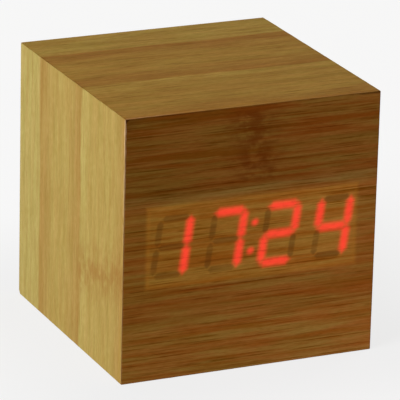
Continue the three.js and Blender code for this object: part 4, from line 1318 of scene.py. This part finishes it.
def metal_finish(name, bright, dull, roughness, scratch, recess=None):
    """Plated metal whose polish varies, with scratches of a length in millimetres.

    recess is a pair of places in y between which it is painted dark, towards the front, as painted shade in a
    recess.
    """
    material, shader, axes = start_finish(name, Metallic=1.0)
    x, y, z = axes
    cloud = blotches(axes, size=1.5, detail=3.0)
    fine = noise(x / scratch, y / SCRATCH_WIDTH, z / SCRATCH_WIDTH)
    tone = (cloud.ease(0.45, 0.75) * DULL_SHARE).mix(bright, dull)
    if recess:
        # Painted shade: darker deep in the screw's cross and round its head in the seat.
        tone = y.ease(*recess).mix(RECESS_SHADE, tone)
    feed(shader, Base_Color=tone, Normal=bump(fine, SCRATCH_DEPTH))
    feed(shader, Roughness=roughness + cloud * UNEVEN_POLISH + fine * SCRATCH_ROUGHNESS)
    return material


steel = metal_finish("plated_steel", BRIGHT_STEEL, DULL_STEEL, roughness=0.18, scratch=1.2)
brass = metal_finish("bright_brass", BRIGHT_BRASS, DULL_BRASS, roughness=0.15, scratch=0.6)
print(f"steel on {dress_nodes(steel, 'steel')} solids, brass on {dress_nodes(brass, 'brass')}")

# %% Model the screws
SCREW_BRIGHT = (0.5, 0.5, 0.51, 1)
SCREW_DULL = (0.36, 0.36, 0.37, 1)
HEAD_DIAMETER = 4.0
HEAD_RISE = 1.3
HEAD_EDGE = 0.8
HEAD_INNER_RING = 0.8
SHANK_DIAMETER = 2.2
SHANK_TIP = 1.5
TIP_DIAMETER = 0.3
CROSS_LENGTH = 2.4
CROSS_WIDTH = 0.5
CROSS_DEPTH = 0.6
CROSS_TURNS = (20, 65, 8, 50)
SHADE_BELOW = 0.1
head_top = box_mm(screw_nodes[0])[1].y
# The screws' finish paints shade into their crosses and round their heads.
screw_steel = metal_finish(
    "screw_steel", SCREW_BRIGHT, SCREW_DULL, roughness=0.24, scratch=0.8,
    recess=(head_top - CROSS_DEPTH - SHADE_BELOW, head_top - CROSS_DEPTH / 2),
)
low, high = box_mm(screw_nodes[0])
length = high.y - low.y
head_foot = length - HEAD_RISE
profile = [
    (TIP_DIAMETER, 0), (SHANK_DIAMETER, SHANK_TIP), (SHANK_DIAMETER, head_foot),
    (HEAD_DIAMETER, head_foot), *round_rim(HEAD_DIAMETER, length, HEAD_EDGE), (HEAD_INNER_RING, length),
]
middle = node_middle(screw_nodes[0])
screw_names = [f"cover_screw_{k}" for k in (1, 2, 3, 4)]
screw = turned(screw_names[0], profile, mm(middle.x, low.y, middle.z), REAR)
screws = repeated(screw, screw_names, screw_nodes)
for screw, node, turn in zip(screws, screw_nodes, CROSS_TURNS):
    middle = node_middle(node)
    arms = []
    for quarter in (0, 90):
        size = mm(CROSS_LENGTH, 2 * CROSS_DEPTH, CROSS_WIDTH) / 2
        arm = block("arm", -size, size)
        arm.location = mm(middle.x, high.y, middle.z)
        arm.rotation_euler.y = math.radians(turn + quarter)
        arms.append(arm)
    combine(screw, "DIFFERENCE", arms)
    settle(screw, screw_steel, node)
print(f"{len(screws)} screws of {length:.1f} mm")

# %% Model the inlet's pin
PIN_SIDES = 32
PIN_ROUND = 0.4
pin_low, pin_high = box_mm("dc_jack_pin")
pin_diameter = pin_high.x - pin_low.x
pin_length = pin_high.y - pin_low.y
pin_profile = [(pin_diameter, 0), *round_rim(pin_diameter, pin_length, pin_diameter * PIN_ROUND)]
pin_place = mm((pin_low.x + pin_high.x) / 2, pin_low.y, (pin_low.z + pin_high.z) / 2)
settle(turned("inlet_pin", pin_profile, pin_place, REAR, sides=PIN_SIDES), brass, "dc_jack_pin")
print(f"a pin of {pin_diameter:.1f} by {pin_length:.1f} mm")

# %% [markdown]
# ## Cells
# Three cells lie in the bay, each the other way round from its neighbour. A cell is a steel can in a
# printed sleeve that is shrunk over its ends. The sleeve is plain here. One profile makes the can, the
# lip of the sleeve and the raised contact, and the finish turns to bare metal past the sleeve's lips.

# %% Finish of the cells
SLEEVE_TONES = [(0.3, paint(52, 62, 74)), (0.7, paint(66, 77, 90))]
RING_TONE = paint(96, 108, 120)
RING_SHARE = 0.35
RING_ENDS = (14.0, 14.2)
LIP_SOFT = 0.05
SLEEVE_ROUGHNESS = 0.3
SLEEVE_UNEVEN = 0.2
BARE_POLISH = 0.05


def cell_finish(name, low_x, high_x):
    """A slate sleeve between two places along the cell, with bare steel past them."""
    material, shader, (x, y, z) = start_finish(name)
    bare = 1 - (x - low_x).ease(0, LIP_SOFT) * (1 - (x - high_x).ease(-LIP_SOFT, 0))
    cloud = noise(x / 6, y / 4, z / 4, detail=3.0)
    ring = 1 - abs(x - (low_x + high_x) / 2).ease(*RING_ENDS)
    sleeve = (ring * RING_SHARE).mix(cloud.ramp(SLEEVE_TONES), RING_TONE)
    feed(shader, Base_Color=bare.mix(sleeve, BRIGHT_STEEL), Metallic=bare)
    feed(shader, Roughness=SLEEVE_ROUGHNESS + cloud * SLEEVE_UNEVEN - bare * BARE_POLISH)
    return material


print("finish of the cells ready")

# %% Model the cells
NUB_DIAMETER = 3.8
NUB_LENGTH = 0.9
SLEEVE_WALL = 0.15
SLEEVE_LIP = 0.7
CAN_EDGE = 0.5
CAN_FOOT = 1.2
LIP_WIDTH = 2.4
LIP_INSIDE = 2.6
LIP_START = 0.6
LIP_TURN = 0.02
CELL_SIDES = 64
TURNED_CELL = "cell_2"
low, high = cell_boxes[0]
diameter = high.z - low.z
length = high.x - low.x
can = diameter - 2 * SLEEVE_WALL
shoulder = length - NUB_LENGTH
profile = [
    (can - CAN_FOOT, 0), (can - 2 * SLEEVE_WALL, SLEEVE_WALL), (can, SLEEVE_LIP / 2),
    (diameter - SLEEVE_WALL, SLEEVE_LIP / 2), (diameter, SLEEVE_LIP),
    *round_rim(diameter, shoulder, CAN_EDGE),
    (diameter - LIP_WIDTH, shoulder), (diameter - LIP_INSIDE, shoulder - SLEEVE_WALL),
    (NUB_DIAMETER, shoulder - SLEEVE_WALL),
    *round_rim(NUB_DIAMETER, length, CAN_EDGE / 2),
]
middle = (low + high) / 2
cell_names = [f"battery_cell_{k}" for k in (1, 2, 3)]
cell = turned(cell_names[0], profile, mm(high.x, middle.y, middle.z), LEFT, sides=CELL_SIDES)
cells = repeated(cell, cell_names, cell_nodes, half_turned=TURNED_CELL)
for cell, node, (low, high) in zip(cells, cell_nodes, cell_boxes):
    rises = (SLEEVE_LIP * LIP_START, shoulder - LIP_TURN)
    lips = sorted(low.x + rise if node == TURNED_CELL else high.x - rise for rise in rises)
    settle(cell, cell_finish("cell_sleeve_" + node[-1], *lips), node)
print(f"{len(cells)} cells of {length:.1f} mm")

# %% [markdown]
# ## Springs and contact plates
# A conical spring presses on each cell's flat end, and stamped plates join the cells in a row. A spring
# is easiest as a curve: its points follow a formula, the wire is the curve's bevel, and the result is
# turned into a mesh. The middle one is the same spring, turned half round. The plates keep the packed
# solid's outline, with their edges rounded.

# %% Model the springs
SPRING_WIRE = 0.5
SPRING_TURNS = 2.5
SPRING_WIDE = 3.05
SPRING_NARROW = 1.45
SPRING_POINTS = 32


def spring_points(plate_end, cell_end, axis):
    """The middle line of a conical spring, from its wide end at a contact plate to its cell."""
    count = int(SPRING_TURNS * SPRING_POINTS)
    for step in range(count + 1):
        share = step / count
        radius = SPRING_WIDE + (SPRING_NARROW - SPRING_WIDE) * share
        angle = 2 * math.pi * SPRING_TURNS * share
        x = plate_end + (cell_end - plate_end) * share
        yield mm(x, axis.y - radius * math.cos(angle), axis.z + radius * math.sin(angle))


spring_nodes = [f"contact_spring_{k}" for k in (1, 2, 3)]
spring_names = [f"spring_{k}" for k in (1, 2, 3)]
low, high = box_mm(spring_nodes[0])
axis = node_middle(cell_nodes[0])
points = list(spring_points(high.x - SPRING_WIRE / 2, low.x + SPRING_WIRE / 2, axis))
curve = bpy.data.curves.new(spring_names[0], "CURVE")
curve.dimensions = "3D"
curve.bevel_depth = SPRING_WIRE / 2 * MM
curve.use_fill_caps = True
line = curve.splines.new("POLY")
line.points.add(len(points) - 1)
for point, place in zip(line.points, points):
    point.co = (*place, 1)
spring = bpy.data.objects.new(spring_names[0], curve)
bpy.context.collection.objects.link(spring)
make_active(spring)
bpy.ops.object.convert(target="MESH")
springs = repeated(spring, spring_names, spring_nodes, half_turned="contact_spring_2")
for spring, node in zip(springs, spring_nodes):
    settle(spring, steel, node)
print(f"{len(springs)} springs of {len(points)} points")

# %% Soften the contact plates
PLATE_EDGE = 0.06 * MM
for plate in plate_sides:
    outline = frame["nodes"][plate].data.copy()
    piece = bpy.data.objects.new(plate.replace("contact", "stamped"), outline)
    bpy.context.collection.objects.link(piece)
    round_edges(piece, PLATE_EDGE)
    settle(piece, steel, plate)
print(f"{len(plate_sides)} contact plates")

# %% [markdown]
# ## Inside the case
# The display, the circuit boards and the wiring are sealed in. Nobody sees them unless the clock is
# taken apart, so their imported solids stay, and each kind gets a finish of its own.

# %% Finishes of the inner pieces
MILK_WHITE = paint(232, 230, 222)
MASK_GREEN = paint(20, 74, 40)
TRACK_GREEN = paint(44, 112, 62)
TRACK_SHARE = 0.7
MASK_ROUGHNESS = 0.35
TRACK_POLISH = 0.08
CABLE_ROUGHNESS = 0.5
CABLE_UNEVEN = 0.15


def mask_finish():
    """Green solder mask over copper tracks."""
    material, shader, (x, y, z) = start_finish("solder_mask", Specular_IOR_Level=0.5)
    track = 1 - abs(noise(x / 2.2, y, z / 0.9, detail=1.0) - 0.5).ease(0.02, 0.05)
    tone = (track * TRACK_SHARE).mix(MASK_GREEN, TRACK_GREEN)
    feed(shader, Base_Color=tone, Normal=bump(track, depth=0.03))
    feed(shader, Roughness=MASK_ROUGHNESS - track * TRACK_POLISH)
    return material


def sleeve_finish(name, dark, light):
    """A soft cable sleeve with faint extrusion marks."""
    material, shader, (x, y, z) = start_finish(name, Specular_IOR_Level=0.3)
    marks = noise(x / 0.3, y / 2.0, z / 0.3, detail=3.0)
    feed(shader, Base_Color=marks.ramp([(0.3, dark), (0.7, light)]))
    feed(shader, Roughness=CABLE_ROUGHNESS + marks * CABLE_UNEVEN)
    return material


inner_finishes = {
    "circuit_board": mask_finish(),
    "chip_plastic": plastic_finish("chip_resin", paint(28, 28, 30), paint(38, 38, 40), grain=0.15),
    "white_plastic": plastic_finish("white_moulding", paint(222, 220, 212), MILK_WHITE, grain=0.3),
    "diffuser": plastic_finish("frosted_film", MILK_WHITE, paint(242, 240, 232), grain=0.08),
    "ribbon_sleeve": sleeve_finish("ribbon_sleeve", paint(140, 143, 148), paint(158, 161, 166)),
    "red_sleeve": sleeve_finish("red_sleeve", paint(160, 26, 22), paint(180, 36, 30)),
    "black_sleeve": sleeve_finish("black_sleeve", paint(22, 22, 22), paint(32, 32, 32)),
}
print({slot: dress_nodes(finish, slot) for slot, finish in inner_finishes.items()})

# %% [markdown]
# ## The stage
# The photograph has a nearly white ground and hardly any shadow. The ground's brightness is its own,
# given only to rays from the camera, from mirrors and through glass, so that it adds no light to the
# object, and a soft shadow is painted into it round the cube's foot. For all other rays it is a plain
# pale floor. One large lamp from the left lights the left side most, the top less and the front least.
# Two weaker ones light the right side and the rear.

# %% What the camera sees, and what gives light
def blank_tree(holder):
    """The empty node tree of a material or a world."""
    holder.use_nodes = True
    holder.node_tree.nodes.clear()
    return Wire(holder.node_tree)


def end_tree(pen, lighting, seen, output):
    """End a tree with two shaders: one for light on its way to things, and one that is seen.

    Rays from the camera, from mirrors and through glass meet the second one.
    """
    kinds = ("Is Camera Ray", "Is Glossy Ray", "Is Transmission Ray")
    camera_ray, glossy_ray, glass_ray = (pen.node("ShaderNodeLightPath", output=kind) for kind in kinds)
    direct = camera_ray.at_least(glossy_ray).at_least(glass_ray)
    both = pen.node("ShaderNodeMixShader", sockets={0: direct, 1: lighting, 2: seen})
    pen.node(output, sockets={"Surface": both})


print("stage helpers ready")

# %% Floor
FLOOR_SIZE = 8.0
FLOOR_DROP = 0.02 * MM
FLOOR_SEEN = (0.86, 0.86, 0.86, 1.0)
# The glow of the ground beside the cube's foot, darker as a painted shadow.
FLOOR_PAINTED_SHADOW = (0.79, 0.79, 0.79, 1.0)
FLOOR_SHADE = (0.13, 0.13, 0.13, 1.0)
FLOOR_PALE = (0.5, 0.5, 0.5, 1.0)
SHADOW_REACH = 60 * MM


def floor_finish():
    """A ground that glows, dimmed near the cube by a painted shadow, and that still takes the cube's real shadow.
    """
    material = bpy.data.materials.new("floor")
    pen = blank_tree(material)
    place = pen.node("ShaderNodeTexCoord", output="Object")
    x, y = (place.node("ShaderNodeSeparateXYZ", sockets={0: place}, output=axis) for axis in "XY")
    from_cube = abs(x).at_least(abs(y)) - cube_size / 2
    # Painted shadow: the glow is dimmed round the cube's foot, within the shadow's reach.
    glow = from_cube.ease(0, SHADOW_REACH).mix(FLOOR_PAINTED_SHADOW, FLOOR_SEEN)
    bright = pen.node("ShaderNodeEmission", sockets={"Color": glow})
    shade = pen.node("ShaderNodeBsdfDiffuse", sockets={"Color": FLOOR_SHADE})
    seen = pen.node("ShaderNodeAddShader", sockets={0: bright, 1: shade})
    pale = pen.node("ShaderNodeBsdfDiffuse", sockets={"Color": FLOOR_PALE})
    end_tree(pen, pale, seen, "ShaderNodeOutputMaterial")
    return material


bpy.ops.object.select_all(action="DESELECT")
bpy.ops.mesh.primitive_plane_add(size=FLOOR_SIZE, location=(0, 0, -FLOOR_DROP))
floor = bpy.context.object
floor.name = "floor"
floor.data.materials.append(floor_finish())
print(f"floor of {FLOOR_SIZE:.0f} m")

# %% Surroundings
WORLD_SEEN = 0.9
WORLD_LIGHT = 0.10
WHITE = (1.0, 1.0, 1.0, 1.0)
world = bpy.data.worlds.new("studio")
bpy.context.scene.world = world
pen = blank_tree(world)
lighting, seen = (
    pen.node("ShaderNodeBackground", sockets={"Color": WHITE, "Strength": strength})
    for strength in (WORLD_LIGHT, WORLD_SEEN)
)
end_tree(pen, lighting, seen, "ShaderNodeOutputWorld")
print(f"surroundings at {WORLD_LIGHT} of white, seen at {WORLD_SEEN}")

# %% Lamps
LAMP_DISTANCE = 0.9


def lamp(name, direction, size, power, colour):
    """A square soft lamp that looks at the middle of the cube."""
    way = Vector(direction).normalized()
    bpy.ops.object.light_add(type="AREA", location=cube_middle + way * LAMP_DISTANCE)
    made = bpy.context.object
    made.name = name
    made.rotation_euler = way.to_track_quat("Z", "Y").to_euler()
    made.data.size = size
    made.data.energy = power
    made.data.color = colour
    return made


lamps = [
    lamp("key_lamp", (-0.88, -0.30, 0.37), size=0.5, power=7.4, colour=(1.0, 1.0, 1.0)),
    lamp("fill_lamp", (0.85, 0.45, 0.28), size=0.6, power=3.0, colour=(1.0, 0.92, 0.82)),
    lamp("rear_lamp", (-0.35, 0.93, 0.14), size=0.3, power=2.0, colour=(1.0, 0.98, 0.94)),
]
print([f"{made.name} {made.data.energy:.1f} W" for made in lamps])
